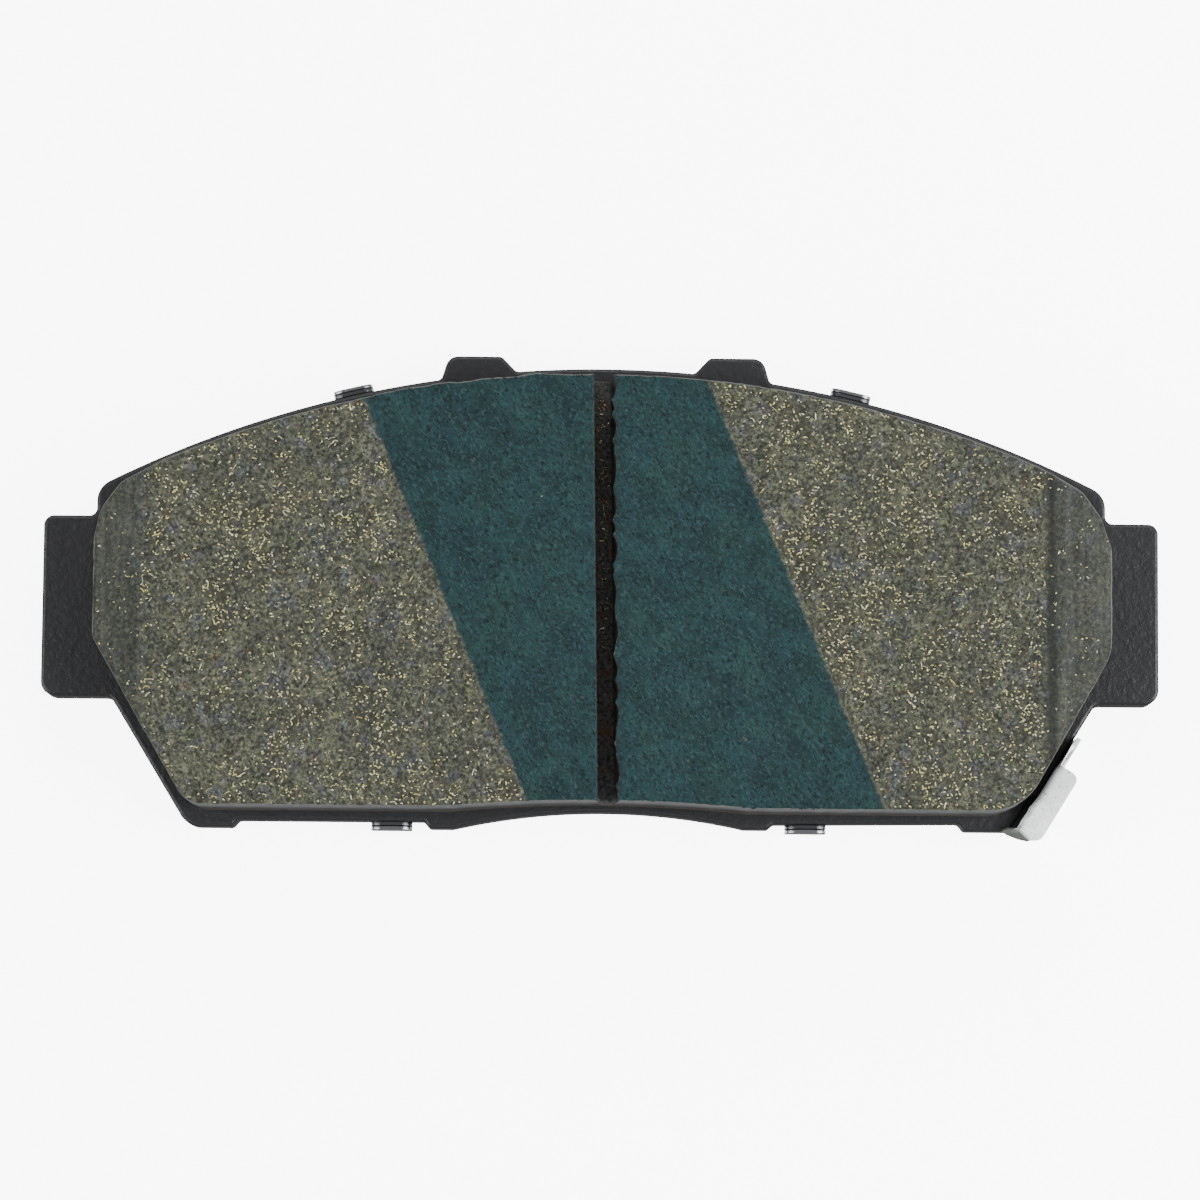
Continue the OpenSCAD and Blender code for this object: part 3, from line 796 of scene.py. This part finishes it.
def stripe_mesh(name, left, right, material, spacing):
    """A thin closed film between two borders, draped over the ground face."""
    columns, rows = int(HALF_STRIPE / spacing), int(FACE_TALL / spacing)
    u = rows_at(columns, 0.6)[None, :]
    ends = []
    for side in (0, 1):
        y = np.full(columns, -27.0 if side == 0 else 30.0)
        for _ in range(8):
            x = left(y) + (right(y) - left(y)) * u[0]
            y = face_edges(x)[side]
        ends.append(y + (0.05 if side == 0 else -0.05))
    t = rows_at(rows, 0.6)[:, None]
    y = ends[0] + (ends[1] - ends[0]) * t
    x = left(y) + (right(y) - left(y)) * u
    slanting = 0.62 * x - 0.79 * y
    across = (0.79 * x + 0.62 * y) * 2.2
    wrinkle = fractal(slanting, across, 1.1, 101)
    border = np.minimum(np.minimum(u, 1 - u) * HALF_STRIPE, np.minimum(t, 1 - t) * FACE_TALL)
    above = 0.05 * smooth(0, 0.35, border) - 0.012
    top = face_height(x, y) + above + 0.03 * wrinkle * smooth(0, 0.5, border)
    low = face_height(x, y) - 0.07
    points = np.vstack([np.stack([x, y, z], axis=-1).reshape(-1, 3) for z in (top, low)])
    film = make_mesh(name, points, closed_shell(rows, columns), [material])
    to_border = x - left(y) if x.mean() < 0 else right(y) - x
    mark(film, "inside", np.clip(to_border / 1.4, 0, 1).ravel())
    return film


# ---------------------------------------------------------------- brass fibres
def cluster_at(x, y):
    """How crowded the fibres are, from 0 to 1."""
    return 0.5 + 0.5 * fractal(x, y, 2.6, 111)


def fibre_places(count, seed):
    """Scattered places on the friction face, in loose clusters, and the source of the later draws."""
    rng = np.random.RandomState(seed)
    x = rng.uniform(FRICTION_LEFT + 0.5, FRICTION_RIGHT - 0.5, count * 4)
    y = rng.uniform(FRICTION_BOTTOM, 32, count * 4)
    low, high = face_edges(x)
    inside = (y > low + 0.3) & (y < high - 0.3)
    density = np.clip(0.2 + 3.0 * (cluster_at(x, y) - 0.42), 0.1, 1)
    chamfer = (x > CHAMFER_RIGHT) | (x < CHAMFER_LEFT)
    density = np.where(chamfer, density * 0.2, density)
    slot = (x > SLOT_LEFT - 0.15) & (x < slot_right_edge(y) + 0.15)
    density = np.where(in_stripe(x, y), 0.008, density)
    density = np.where(slot, 0.0, density)
    keep = inside & (rng.rand(len(x)) < density)
    return x[keep][:count], y[keep][:count], rng


def fibre_line(centre, heading, length, width, curl, segments):
    """One flattened, curled fibre: its middle line, and the way from there to its border at each point."""
    along = np.linspace(-0.5, 0.5, segments + 1)
    bend = heading + curl * along
    steps = np.column_stack([np.cos(bend), np.sin(bend)])[:-1] * length / segments
    path = np.vstack([[0, 0], np.cumsum(steps, axis=0)])
    half = width / 2 * np.sqrt(np.clip(1.02 - (2 * along) ** 4, 0.25, 1))
    return path - path.mean(axis=0) + centre, np.column_stack([-np.sin(bend), np.cos(bend)]) * half[:, None]


def slot_places(count, seed):
    """Fibres that the saw laid bare on the slot's floor, over its upper half."""
    rng = np.random.RandomState(seed)
    y = 28 - 34 * rng.rand(count) ** 1.3
    share = np.clip(0.5 + rng.normal(0, 0.16, count), 0.12, 0.88)
    return SLOT_LEFT - SLOT_LEAN * y + share * (SLOT_RIGHT - SLOT_LEFT), y, rng


def slot_ground(x, y):
    return SLOT_FLOOR + 0.12 * fractal(x, y, 1.3, 51)


def fibres_mesh(name, places, ground_at, materials):
    """Fibres half sunk in the ground: each is rings of four points, left, crest, right and root."""
    xs, ys, rng = places
    fibres = []
    for centre in zip(xs, ys):
        long_one = rng.rand() < 0.12
        length = 0.4 + 0.6 * rng.rand() ** 1.5 if long_one else 0.15 + 0.26 * rng.rand()
        width = 0.13 + 0.06 * rng.rand() if long_one else 0.15 + 0.12 * rng.rand()
        heading = rng.normal(0, 0.75) + (math.pi / 2 if rng.rand() < 0.12 else 0)
        curl = rng.normal(0, 1.3) if long_one else 0.3
        segments = 5 if length > 0.6 else 3 if long_one else 2
        path, half = fibre_line(centre, heading, length, width, curl, segments)
        crest = 0.018 + 0.012 * rng.rand()
        finish = int(rng.choice(len(materials), p=(0.3, 0.2, 0.5)))
        fibres.append((path, half, crest, finish, 0.2 + 0.7 * rng.rand()))
    flat = np.vstack([fibre[0] for fibre in fibres])
    ends = np.cumsum([len(fibre[0]) for fibre in fibres])
    ground = np.split(ground_at(flat[:, 0], flat[:, 1]), ends[:-1])
    points, faces, index, tones = [], [], [], []
    for (path, half, crest, finish, tone), end, height in zip(fibres, ends, ground):
        count = len(path)
        height = 0.6 * height + 0.4 * height.max()
        corners = ((path - half, height + 0.004), (path, height + crest),
                   (path + half, height + 0.004), (path, height - 0.03))
        rings = np.stack([np.column_stack(corner) for corner in corners], axis=1)
        points.append(rings.reshape(-1, 3))
        first, last = 4 * (end - count), 4 * (end - 1)
        for ring in range(first, last, 4):
            faces += ring_faces(ring, ring + 4, 4)
        faces += [(first + 3, first + 2, first + 1, first), (last, last + 1, last + 2, last + 3)]
        index += [finish] * (4 * count - 2)
        tones += [tone] * (4 * count)
    obj = make_mesh(name, np.vstack(points), faces, materials, index)
    mark(obj, "tone", tones)
    return obj


# ---------------------------------------------------------------- flat sheets with holes
def soften(obj, angle=35):
    """Smooth shading with real corners sharp, and level faces level right up to their rounded rims."""
    mesh = obj.data
    mesh.polygons.foreach_set("use_smooth", np.full(len(mesh.polygons), True))
    mesh.set_sharp_from_angle(angle=math.radians(angle))
    with opened(mesh) as bm:
        for edge in bm.edges:
            level_sides = [abs(face.normal.z) > 0.9999 for face in edge.link_faces]
            if any(level_sides) and not all(level_sides):
                edge.smooth = False
    return obj


def evaluated_mesh(obj):
    """The mesh that the object's curve or modifiers make."""
    graph = bpy.context.evaluated_depsgraph_get()
    return bpy.data.meshes.new_from_object(obj.evaluated_get(graph))


def sheet(name, loops, low, high, rounding, material):
    """A flat sheet from closed loops, holes included, with rounded edges."""
    curve = bpy.data.curves.new(name, "CURVE")
    curve.dimensions = "2D"
    curve.fill_mode = "BOTH"
    curve.extrude = ((high - low) / 2 - rounding) * MM
    curve.bevel_depth = rounding * MM
    curve.bevel_resolution = 2
    curve.offset = -rounding * MM
    for loop in loops:
        spline = curve.splines.new("POLY")
        spline.points.add(len(loop) - 1)
        spline.points.foreach_set("co", np.pad(np.asarray(loop) * MM, ((0, 0), (0, 2))).ravel())
        spline.use_cyclic_u = True
    carrier = placed(name + "_curve", curve)
    mesh = evaluated_mesh(carrier)
    bpy.data.objects.remove(carrier)
    bpy.data.curves.remove(curve)
    mesh.transform(Matrix.Translation((0, 0, (low + high) / 2 * MM)))
    with opened(mesh) as bm:
        bmesh.ops.remove_doubles(bm, verts=bm.verts, dist=1e-6)
        bmesh.ops.recalc_face_normals(bm, faces=bm.faces)
    mesh.materials.clear()
    mesh.materials.append(material)
    mesh.name = name
    return soften(placed(name, mesh))


def bevelled(obj, width, angle=40):
    """The object with its sharp edges rounded, as final mesh."""
    bevel = obj.modifiers.new("round", "BEVEL")
    bevel.width = width * MM
    bevel.segments = 2
    bevel.limit_method = "ANGLE"
    bevel.angle_limit = math.radians(angle)
    mesh, old = evaluated_mesh(obj), obj.data
    obj.modifiers.clear()
    obj.data = mesh
    bpy.data.meshes.remove(old)
    return soften(obj)


def joined(objects):
    """All the objects' meshes in the first one."""
    first, *others = objects
    with opened(first.data) as bm:
        for other in others:
            bm.from_mesh(other.data)
    for other in others:
        bpy.data.objects.remove(other)
    return soften(first)


def circle(centre, radius, count=48):
    angles = np.arange(count) * 2 * math.pi / count
    return np.column_stack([centre[0] + radius * np.cos(angles), centre[1] + radius * np.sin(angles)])


LOCK_HOLES = ((-36, -1), (-14, 8), (16, 8), (38, -1))
LOCK_R = 5.0


# ---------------------------------------------------------------- shims
SHIM_MARGIN = 1.2
SHIM_HALF = 62.0
TAB_W = 5.4
TAB_TOP = PLATE_BACK + 3.8
TAB_CORNER = 1.2
TAB_COLUMNS = 13
UPPER_TAB_X, LOWER_TAB_X = 33.5, 27.8
INDICATOR_AT = np.array([slant_x(RIGHT_ROOT, -20.0), -20.0])
INDICATOR_OUT = np.array([math.cos(SLANT), -math.sin(SLANT)])
INDICATOR_UP = np.array([math.sin(SLANT), math.cos(SLANT)])
FOOT_REACH = 13.0
FOOT_LOW = -5.5
FOOT_HIGH = 4.3


def on_slant(points):
    """Points from the wear indicator's own axes to the frame's."""
    points = np.asarray(points, float)
    flat = INDICATOR_AT + points[:, :1] * INDICATOR_OUT + points[:, 1:2] * INDICATOR_UP
    return np.column_stack([flat, points[:, 2:]])


def tab_place(side, upper):
    """Where a tab grips the plate's edge: a point on the edge, the way out of it, and the way along it."""
    if upper:
        bearing = math.asin(UPPER_TAB_X / EDGE_R)
        out = np.array([side * math.sin(bearing), math.cos(bearing)])
        return np.array([0, EDGE_CY]) + EDGE_R * out, out, np.array([out[1], -out[0]])
    out = np.array([0.0, -1.0])
    return np.array([side * LOWER_TAB_X, EDGE_BOTTOM]), out, np.array([-1.0, 0.0])


def tongue(side, upper, reach, root):
    """Corners of the strip that carries a tab, from one side of it to the other."""
    at, out, along = tab_place(side, upper)
    return [(*(at + out * run + along * half), radius)
            for run, half, radius in ((-root, TAB_W / 2, 0.5), (reach, TAB_W / 2, 0),
                                      (reach, -TAB_W / 2, 0), (-root, -TAB_W / 2, 0.5))]


def cross_line(a, b, c, d):
    """Where line a-b meets line c-d."""
    a, b, c, d = (np.array(p, float) for p in (a, b, c, d))
    m = np.column_stack([b - a, c - d])
    return a + (b - a) * np.linalg.solve(m, c - a)[0]


def shim_loop(inset, reach):
    """Outline of a shim; reach is how far its tabs' strips run past the plate's upper and lower edges."""
    margin, half = SHIM_MARGIN + inset, SHIM_HALF - inset
    bottom = EDGE_BOTTOM + margin
    heel, hip = (53.0 - inset, bottom), (half, -9.0)
    run = crown_run(half - 3, 3 - half, 90, margin)
    for side in (1, -1):
        strip = tongue(side, True, reach[0], margin)
        xs = [corner[0] for corner in strip]
        before = [p for p in run if p[0] > max(xs) + 0.7]
        run = before + strip + [p for p in run if p[0] < min(xs) - 0.7]

    def notch(x, y):
        return on_slant([[x, y, 0]])[0, :2]

    back, low, high = -FOOT_REACH - 1, FOOT_LOW - 1, FOOT_HIGH + 1
    low_in, high_in = (cross_line(notch(-20, y), notch(0, y), heel, hip) for y in (low, high))
    return rounded([
        (-half, -9.0, 3), (-heel[0], bottom, 3), *tongue(-1, False, reach[1], margin),
        *arch_run(bottom, 19.5, 2.2), *tongue(1, False, reach[1], margin), (*heel, 3),
        (*low_in, 0.4), (*notch(back, low), 0.6), (*notch(back, high), 0.6), (*high_in, 0.4),
        (*hip, 3), (half, crown(half, margin), 3), *run, (-half, crown(half, margin), 3)])


def tab(name, path, thickness, material, place):
    """A strip that follows path (distance out of the edge, height), with a rounded free end."""
    path = np.array(path, float)
    run = distance_along(path)
    tangent = np.gradient(path, axis=0)
    tangent /= np.linalg.norm(tangent, axis=1)[:, None]
    normal = np.column_stack([-tangent[:, 1], tangent[:, 0]])
    from_end = np.clip(TAB_CORNER - (run[-1] - run), 0, TAB_CORNER)
    half = TAB_W / 2 - TAB_CORNER + np.sqrt(TAB_CORNER ** 2 - from_end ** 2)
    across = np.outer(half, np.linspace(-1, 1, TAB_COLUMNS))
    at, out, along = place
    points = []
    for side in (-0.5, 0.5):
        line = (path + normal * side * thickness)[:, None]
        flat = at + line[:, :, :1] * out + across[:, :, None] * along
        height = np.broadcast_to(line[:, :, 1:], (*across.shape, 1))
        points.append(np.concatenate([flat, height], axis=2).reshape(-1, 3))
    return make_mesh(name, np.vstack(points), closed_shell(len(path), TAB_COLUMNS), [material])


def arc_path(centre, radius, start, end, count=8):
    angles = np.radians(np.linspace(start, end, count))
    return [(centre[0] + radius * math.cos(a), centre[1] + radius * math.sin(a)) for a in angles]


def shim(name, low, thickness, inset, gaps, windows, material):
    """A spring-steel shim: a flat sheet with four tabs turned up over the plate's edges."""
    bend = thickness + 0.1
    middle = bend - thickness / 2
    reach = [gap + thickness - bend for gap in gaps]
    parts = [sheet(name, [shim_loop(inset, reach)] + windows, low, low + thickness, 0.04, material)]
    for side, upper in ((-1, True), (-1, False), (1, True), (1, False)):
        start = reach[0 if upper else 1]
        path = [(start - 0.02, low + thickness / 2)]
        path += arc_path((start, low + bend), middle, -90, 0)
        path += [(start + middle, z) for z in np.linspace(low + bend, TAB_TOP, 16)[1:]]
        parts.append(bevelled(tab(name + "_tab", path, thickness, material, tab_place(side, upper)), 0.05))
    return joined(parts)


def window(x, y, half=5.0, radius=2.2):
    """Outline of a long grease window with round ends."""
    angles = np.linspace(-math.pi / 2, math.pi / 2, 15)
    end = np.column_stack([half + radius * np.cos(angles), radius * np.sin(angles)])
    return np.vstack([end, -end]) + (x, y)


WINDOWS = [window(side * 34, 2 + row * 9) for side in (-1, 1) for row in (-1, 0, 1)]


# ---------------------------------------------------------------- wear indicator
STRIP_T = 0.6
WALL_X = 0.25 + STRIP_T / 2
LIP_REACH = 3.15
LIP_HIGH = -0.4
HEEL = np.array([-0.4, -10.1])
TOE = np.array([2.95, -11.2])
TOE_SLOPE = (TOE[1] - HEEL[1]) / (TOE[0] - HEEL[0])
WING_X, WING_LOW = -2.6, -10.6


def rounding(corner, reach):
    """How far a round corner has pulled an edge in, reach past the corner's start."""
    return corner - math.sqrt(max(0.0, corner ** 2 - max(0.0, reach) ** 2))


def strip_rows():
    """The strip's middle line out of its foot, up the plate's edge and out along the lip, with its borders.
    Each row is (x, z, lowest y, highest y)."""
    foot_z, foot_r = PLATE_BACK - STRIP_T / 2, 0.6
    lip_z, lip_r = LIP_TOP - STRIP_T / 2, 0.65
    wall_low, wall_high = foot_z + foot_r, lip_z - lip_r
    foot_xs = [*(np.linspace(0, 1.5, 8) - FOOT_REACH), *np.linspace(-11, WALL_X - foot_r, 34)]
    path = [(x, foot_z) for x in foot_xs]
    path += arc_path((WALL_X - foot_r, wall_low), foot_r, -90, 0, 9)[1:]
    path += [(WALL_X, z) for z in np.linspace(wall_low, wall_high, 46)[1:]]
    path += arc_path((WALL_X + lip_r, wall_high), lip_r, 180, 90, 9)[1:]
    path += [(x, lip_z) for x in np.linspace(WALL_X + lip_r, LIP_REACH, 24)[1:]]
    wall_end = wall_high - 0.15
    rows = []
    for x, z in path:
        if x < WALL_X - 0.01 and z < wall_low + 0.01:
            corner = rounding(1.5, 1.5 - (x + FOOT_REACH))
            low = FOOT_LOW + corner + (WING_LOW - FOOT_LOW) * smooth(WING_X - 1, WING_X, x)
            high = FOOT_HIGH - corner
        elif z <= wall_end and x < WALL_X + 0.01:
            low = WING_LOW - 0.6 * smooth(wall_low, wall_low + 0.35, z) + rounding(0.5, z - (wall_end - 0.5))
            high = FOOT_HIGH - rounding(1.6, z - (wall_end - 1.6))
        else:
            turned = (2.7 - 2.2 * smooth(0.9, 2.6, x)) * smooth(0.1, 0.4, x - WALL_X)
            low = fold_line(x) + 0.3 - turned + rounding(1.9, x - (LIP_REACH - 1.9))
            high = LIP_HIGH - rounding(1.1, x - (LIP_REACH - 1.1))
        rows.append((x, z, float(low), float(high)))
    return rows


def fold_line(x):
    """Where the lip's lower end turns down."""
    return HEEL[1] + TOE_SLOPE * (x - HEEL[0])


def fold_down(x, y):
    """Turns the part of the lip past its lower end down and a little inward: new x and y, and the drop."""
    start, radius, turn = fold_line(x) + 0.2, 0.5, math.radians(60)
    away = np.array([TOE_SLOPE, -1]) / math.hypot(TOE_SLOPE, 1)
    s = np.clip(start - y, 0, None)
    angle = np.clip(s / radius, 0, turn)
    beyond = np.clip(s - radius * turn, 0, None)
    run = radius * np.sin(angle) + beyond * math.cos(turn)
    drop = radius * (1 - np.cos(angle)) + beyond * math.sin(turn)
    inward = (0.1 * run + 0.85 * beyond) * (1 - smooth(0.6, 2.4, x))
    return x + away[0] * run - inward, np.where(s > 0, start + away[1] * run, y), drop


def lip_lean(x, y, z):
    """How far the strip leans in over the plate: most at the lip's lower end, where its border is ragged."""
    inner = 0.2 + 0.25 * smooth(0, -1.5, y) + smooth(-5, -7.6, y) * (0.2 + 0.28 * ragged(y, 0.9, 131))
    rise = smooth(PLATE_FRONT + 0.3, PLATE_FRONT + 2, z)
    return inner * rise * (1 - smooth(WALL_X, LIP_REACH, x))


def indicator_mesh(material):
    rows = strip_rows()
    columns = 72
    middle = np.zeros((len(rows), columns, 3))
    bare_patch_and_painted_shade = np.zeros((len(rows), columns))
    for i, (x, z, low, high) in enumerate(rows):
        y = low + (high - low) * np.linspace(0, 1, columns)
        new_x, new_y, drop = x, y, 0 * y
        if x > WALL_X + 0.08 and z > PLATE_BACK + 4:
            new_x, new_y, drop = fold_down(x, y)
        middle[i] = np.column_stack([new_x - lip_lean(x, y, z), new_y, z - drop])
        # painted shade: the wall and foot beside the gap and the turned-down flap are marked to be coloured
        # dark
        gap_painted_shade = smooth(-4.4, -5.2, y) * smooth(LIP_TOP - 0.9, LIP_TOP - 1.6, z)
        bare_patch_and_painted_shade[i] = np.maximum(gap_painted_shade, smooth(0.0, 0.12, drop))
    normal = np.cross(np.gradient(middle, axis=0), np.gradient(middle, axis=1))
    normal /= np.linalg.norm(normal, axis=2)[:, :, None] + 1e-12
    points = np.vstack([(middle + normal * half).reshape(-1, 3) for half in (STRIP_T / 2, -STRIP_T / 2)])
    strip = make_mesh("wear_indicator_strip", on_slant(points), closed_shell(len(rows), columns), [material])
    mark(strip, "bare_patch_and_painted_shade", bare_patch_and_painted_shade.ravel())
    return bevelled(strip, 0.08, 50)


def lathe(name, profile, centre, material, segments=48):
    """A turned piece from (radius, height) points, closed at both ends."""
    rings = [np.column_stack([circle(centre, radius, segments), np.full(segments, height)])
             for radius, height in profile]
    return soften(stacked(name, rings, material))


def rivet_profile():
    """Flattened dome with a small punch mark, then the shank up into the plate."""
    dome = [(r, 0.1 + 0.42 * (r / 3.1) ** 3 + 0.12 * max(0.0, 1 - r / 0.9) ** 2)
            for r in np.linspace(0.08, 3.1, 22)]
    return dome + [(3.18, 0.56), (3.2, 0.6), (3.16, 0.645), (1.9, 0.65), (1.9, 4.5), (1.7, 4.65)]


# ---------------------------------------------------------------- the pad
def dress(node, material):
    """Puts a material on a CAD node that is shown as it is."""
    data = NODES[node].data
    data.materials.clear()
    data.materials.append(material)


SPACING = 0.3
FIBRE_COUNT = 5600
brass = [brass_material("brass_pale", (0.90, 0.88, 0.58), 0.4),
         brass_material("brass_gold", (0.84, 0.76, 0.30), 0.42),
         brass_material("brass_dull", (0.50, 0.50, 0.27), 0.5)]
paint = paint_material()
coat = powder_coat_material()
core_steel = steel_material("shim_core_steel", (0.10, 0.104, 0.112), 0.42, 0, 0.3)
outer_steel = steel_material("shim_stainless", (0.26, 0.265, 0.28), 0.36, 90, 0.15)
rivet_steel = steel_material("rivet_steel_grey", (0.45, 0.46, 0.47), 0.35, 30, 0.25)
zinc = zinc_material()
rubber = rubber_material()
bond = bond_material()
skin = friction_side_material()
under = underlayer_material()

block = friction_mesh([friction_material(), skin, slot_material()], SPACING)
piece(block, "pad", "friction", "friction_block")
fibres = fibres_mesh("brass_fibres", fibre_places(FIBRE_COUNT, 3), face_height, brass)
piece(fibres, "pad", "friction")
flecks = fibres_mesh("slot_flecks", slot_places(90, 4), slot_ground, brass)
piece(flecks, "pad", "friction")
stripe_left = stripe_mesh("stripe_film_left", stripe_left_border, lambda y: slot_left_edge(y) - 0.03,
                          paint, SPACING)
piece(stripe_left, "pad", "stripe_paint", "marking_stripe_left")
stripe_right = stripe_mesh("stripe_film_right", lambda y: slot_right_edge(y) + 0.06, stripe_right_border,
                           paint, SPACING)
piece(stripe_right, "pad", "stripe_paint", "marking_stripe_right")

low_z, high_z = UNDERLAYER_LOW, FRICTION_LOW
layer_edge = [(0.25, low_z), (0.12, low_z + 0.15), (0.1, low_z + 0.6), (0.08, low_z + 1.1),
              (0.06, low_z + 1.6), (0.12, high_z - 0.1), (0.2, high_z)]
layer = slab("underlayer_slab", resampled(friction_outline(), 0.35), layer_edge, under, 0.12, 1.3, 7)
plug_edge = [(LOCK_R - 0.3, PLATE_BACK + 0.2), (LOCK_R - 0.05, PLATE_BACK + 0.45),
             (LOCK_R - 0.05, UNDERLAYER_LOW + 0.02)]
plugs = [lathe("plug", plug_edge, hole, under) for hole in LOCK_HOLES]
piece(joined([layer] + plugs), "pad", "underlayer", "underlayer")

plate = sheet("backing_plate_body", [plate_outline()] + [circle(hole, LOCK_R) for hole in LOCK_HOLES],
              PLATE_BACK, PLATE_FRONT, 0.45, coat)
piece(plate, "pad", "plate_coat", "backing_plate")

upper_gap, lower_gap, nest_gap = 0.3, 0.06, 0.15
inner_low = level("inner_shim_core", 0)
core_t = level("inner_shim_front_rubber", 0) - inner_low
core = shim("inner_shim_core_body", inner_low, core_t, 0.0, (upper_gap, lower_gap), [], core_steel)
piece(core, "pad", "shim_core", "inner_shim_core")
outer_t = level("inner_shim_back_rubber", 0)
outer_gaps = (upper_gap + core_t + nest_gap, lower_gap + core_t + nest_gap)
cover = shim("outer_shim_body", 0.0, outer_t, 0.8, outer_gaps, WINDOWS, outer_steel)
piece(cover, "pad", "shim_steel", "outer_shim")

strip = indicator_mesh(zinc)
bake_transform(strip)
piece(strip, None, "zinc_steel", "wear_indicator_foot", "wear_indicator_reed")
rivet_at = on_slant([[-8.0, -0.6, 0]])[0, :2]
rivet = lathe("wear_indicator_rivet_body", rivet_profile(), rivet_at, rivet_steel)
piece(rivet, "pad", "rivet_steel", "wear_indicator_rivet")

for node, material in (("bond_film", bond), ("shim_adhesive", bond),
                       ("inner_shim_front_rubber", rubber), ("inner_shim_back_rubber", rubber)):
    dress(node, material)


# ---------------------------------------------------------------- stage, light and camera
def floor():
    """A pale floor that shows the object from below, too: seen from behind it lets everything through."""
    s = Shader("pale_floor", 0.8, specular=0.1)
    s.colour((0.9, 0.9, 0.9))
    s.set("Emission Color", (1, 1, 1))
    s.set("Emission Strength", 7.0)
    back = s.node("ShaderNodeNewGeometry", "Backfacing")
    clear = s.node("ShaderNodeBsdfTransparent", "BSDF")
    shown = s.node("ShaderNodeMixShader", "Shader", {0: back, 1: s.surface.outputs["BSDF"], 2: clear})
    s.link(shown, s.tree.nodes["Material Output"].inputs["Surface"])
    half, height = 3000 * MM, -0.02 * MM
    corners = [(x * half, y * half, height) for x, y in ((-1, -1), (1, -1), (1, 1), (-1, 1))]
    mesh = bpy.data.meshes.new("floor")
    mesh.from_pydata(corners, [], [(0, 1, 2, 3)])
    mesh.materials.append(s.material)
    plane = placed("floor", mesh)
    plane.visible_diffuse = False
    plane.visible_glossy = False
    plane.visible_shadow = False


def panel(name, at, size, power):
    """A soft light that faces the pad; at and size in mm."""
    light = bpy.data.lights.new(name, "AREA")
    light.shape = "RECTANGLE"
    light.size, light.size_y = size[0] * MM, size[1] * MM
    light.energy = power
    obj = placed(name, light)
    obj.location = Vector(at) * MM
    obj.rotation_mode = "QUATERNION"
    obj.rotation_quaternion = (-obj.location).to_track_quat("-Z", "Y")


def camera():
    """Nearly straight down, from a little below the pad's lower edge."""
    distance, tilt, roll = 650.0, math.radians(6.1), math.radians(0.5)
    frame_width = 161.2
    target = Vector((-0.05, 1.49, PLATE_FRONT))
    back = Vector((0, -math.sin(tilt), math.cos(tilt)))
    data = bpy.data.cameras.new("camera")
    data.sensor_width = 36
    data.lens = 36 * distance / frame_width
    data.clip_start, data.clip_end = 0.01, 10
    obj = placed("camera", data)
    obj.location = (target + back * distance) * MM
    obj.rotation_mode = "QUATERNION"
    turn = Matrix.Rotation(roll, 4, "Z").to_quaternion()
    obj.rotation_quaternion = (-back).to_track_quat("-Z", "Y") @ turn
    bpy.context.scene.camera = obj


def sky(strength):
    world = bpy.data.worlds.new("studio")
    world.use_nodes = True
    background = world.node_tree.nodes["Background"]
    background.inputs["Color"].default_value = (1, 1, 1, 1)
    background.inputs["Strength"].default_value = strength
    bpy.context.scene.world = world


floor()
sky(0.33)
panel("left_softbox", (-700, -150, 520), (500, 600), 9)
panel("right_softbox", (640, -100, 480), (450, 500), 13.5)
panel("front_softbox", (0, -700, 240), (800, 200), 1)
panel("back_softbox", (0, 700, 500), (800, 300), 6)
panel("under_left", (-500, 100, -600), (500, 500), 8)
panel("under_right", (500, 200, -500), (500, 500), 5)
camera()
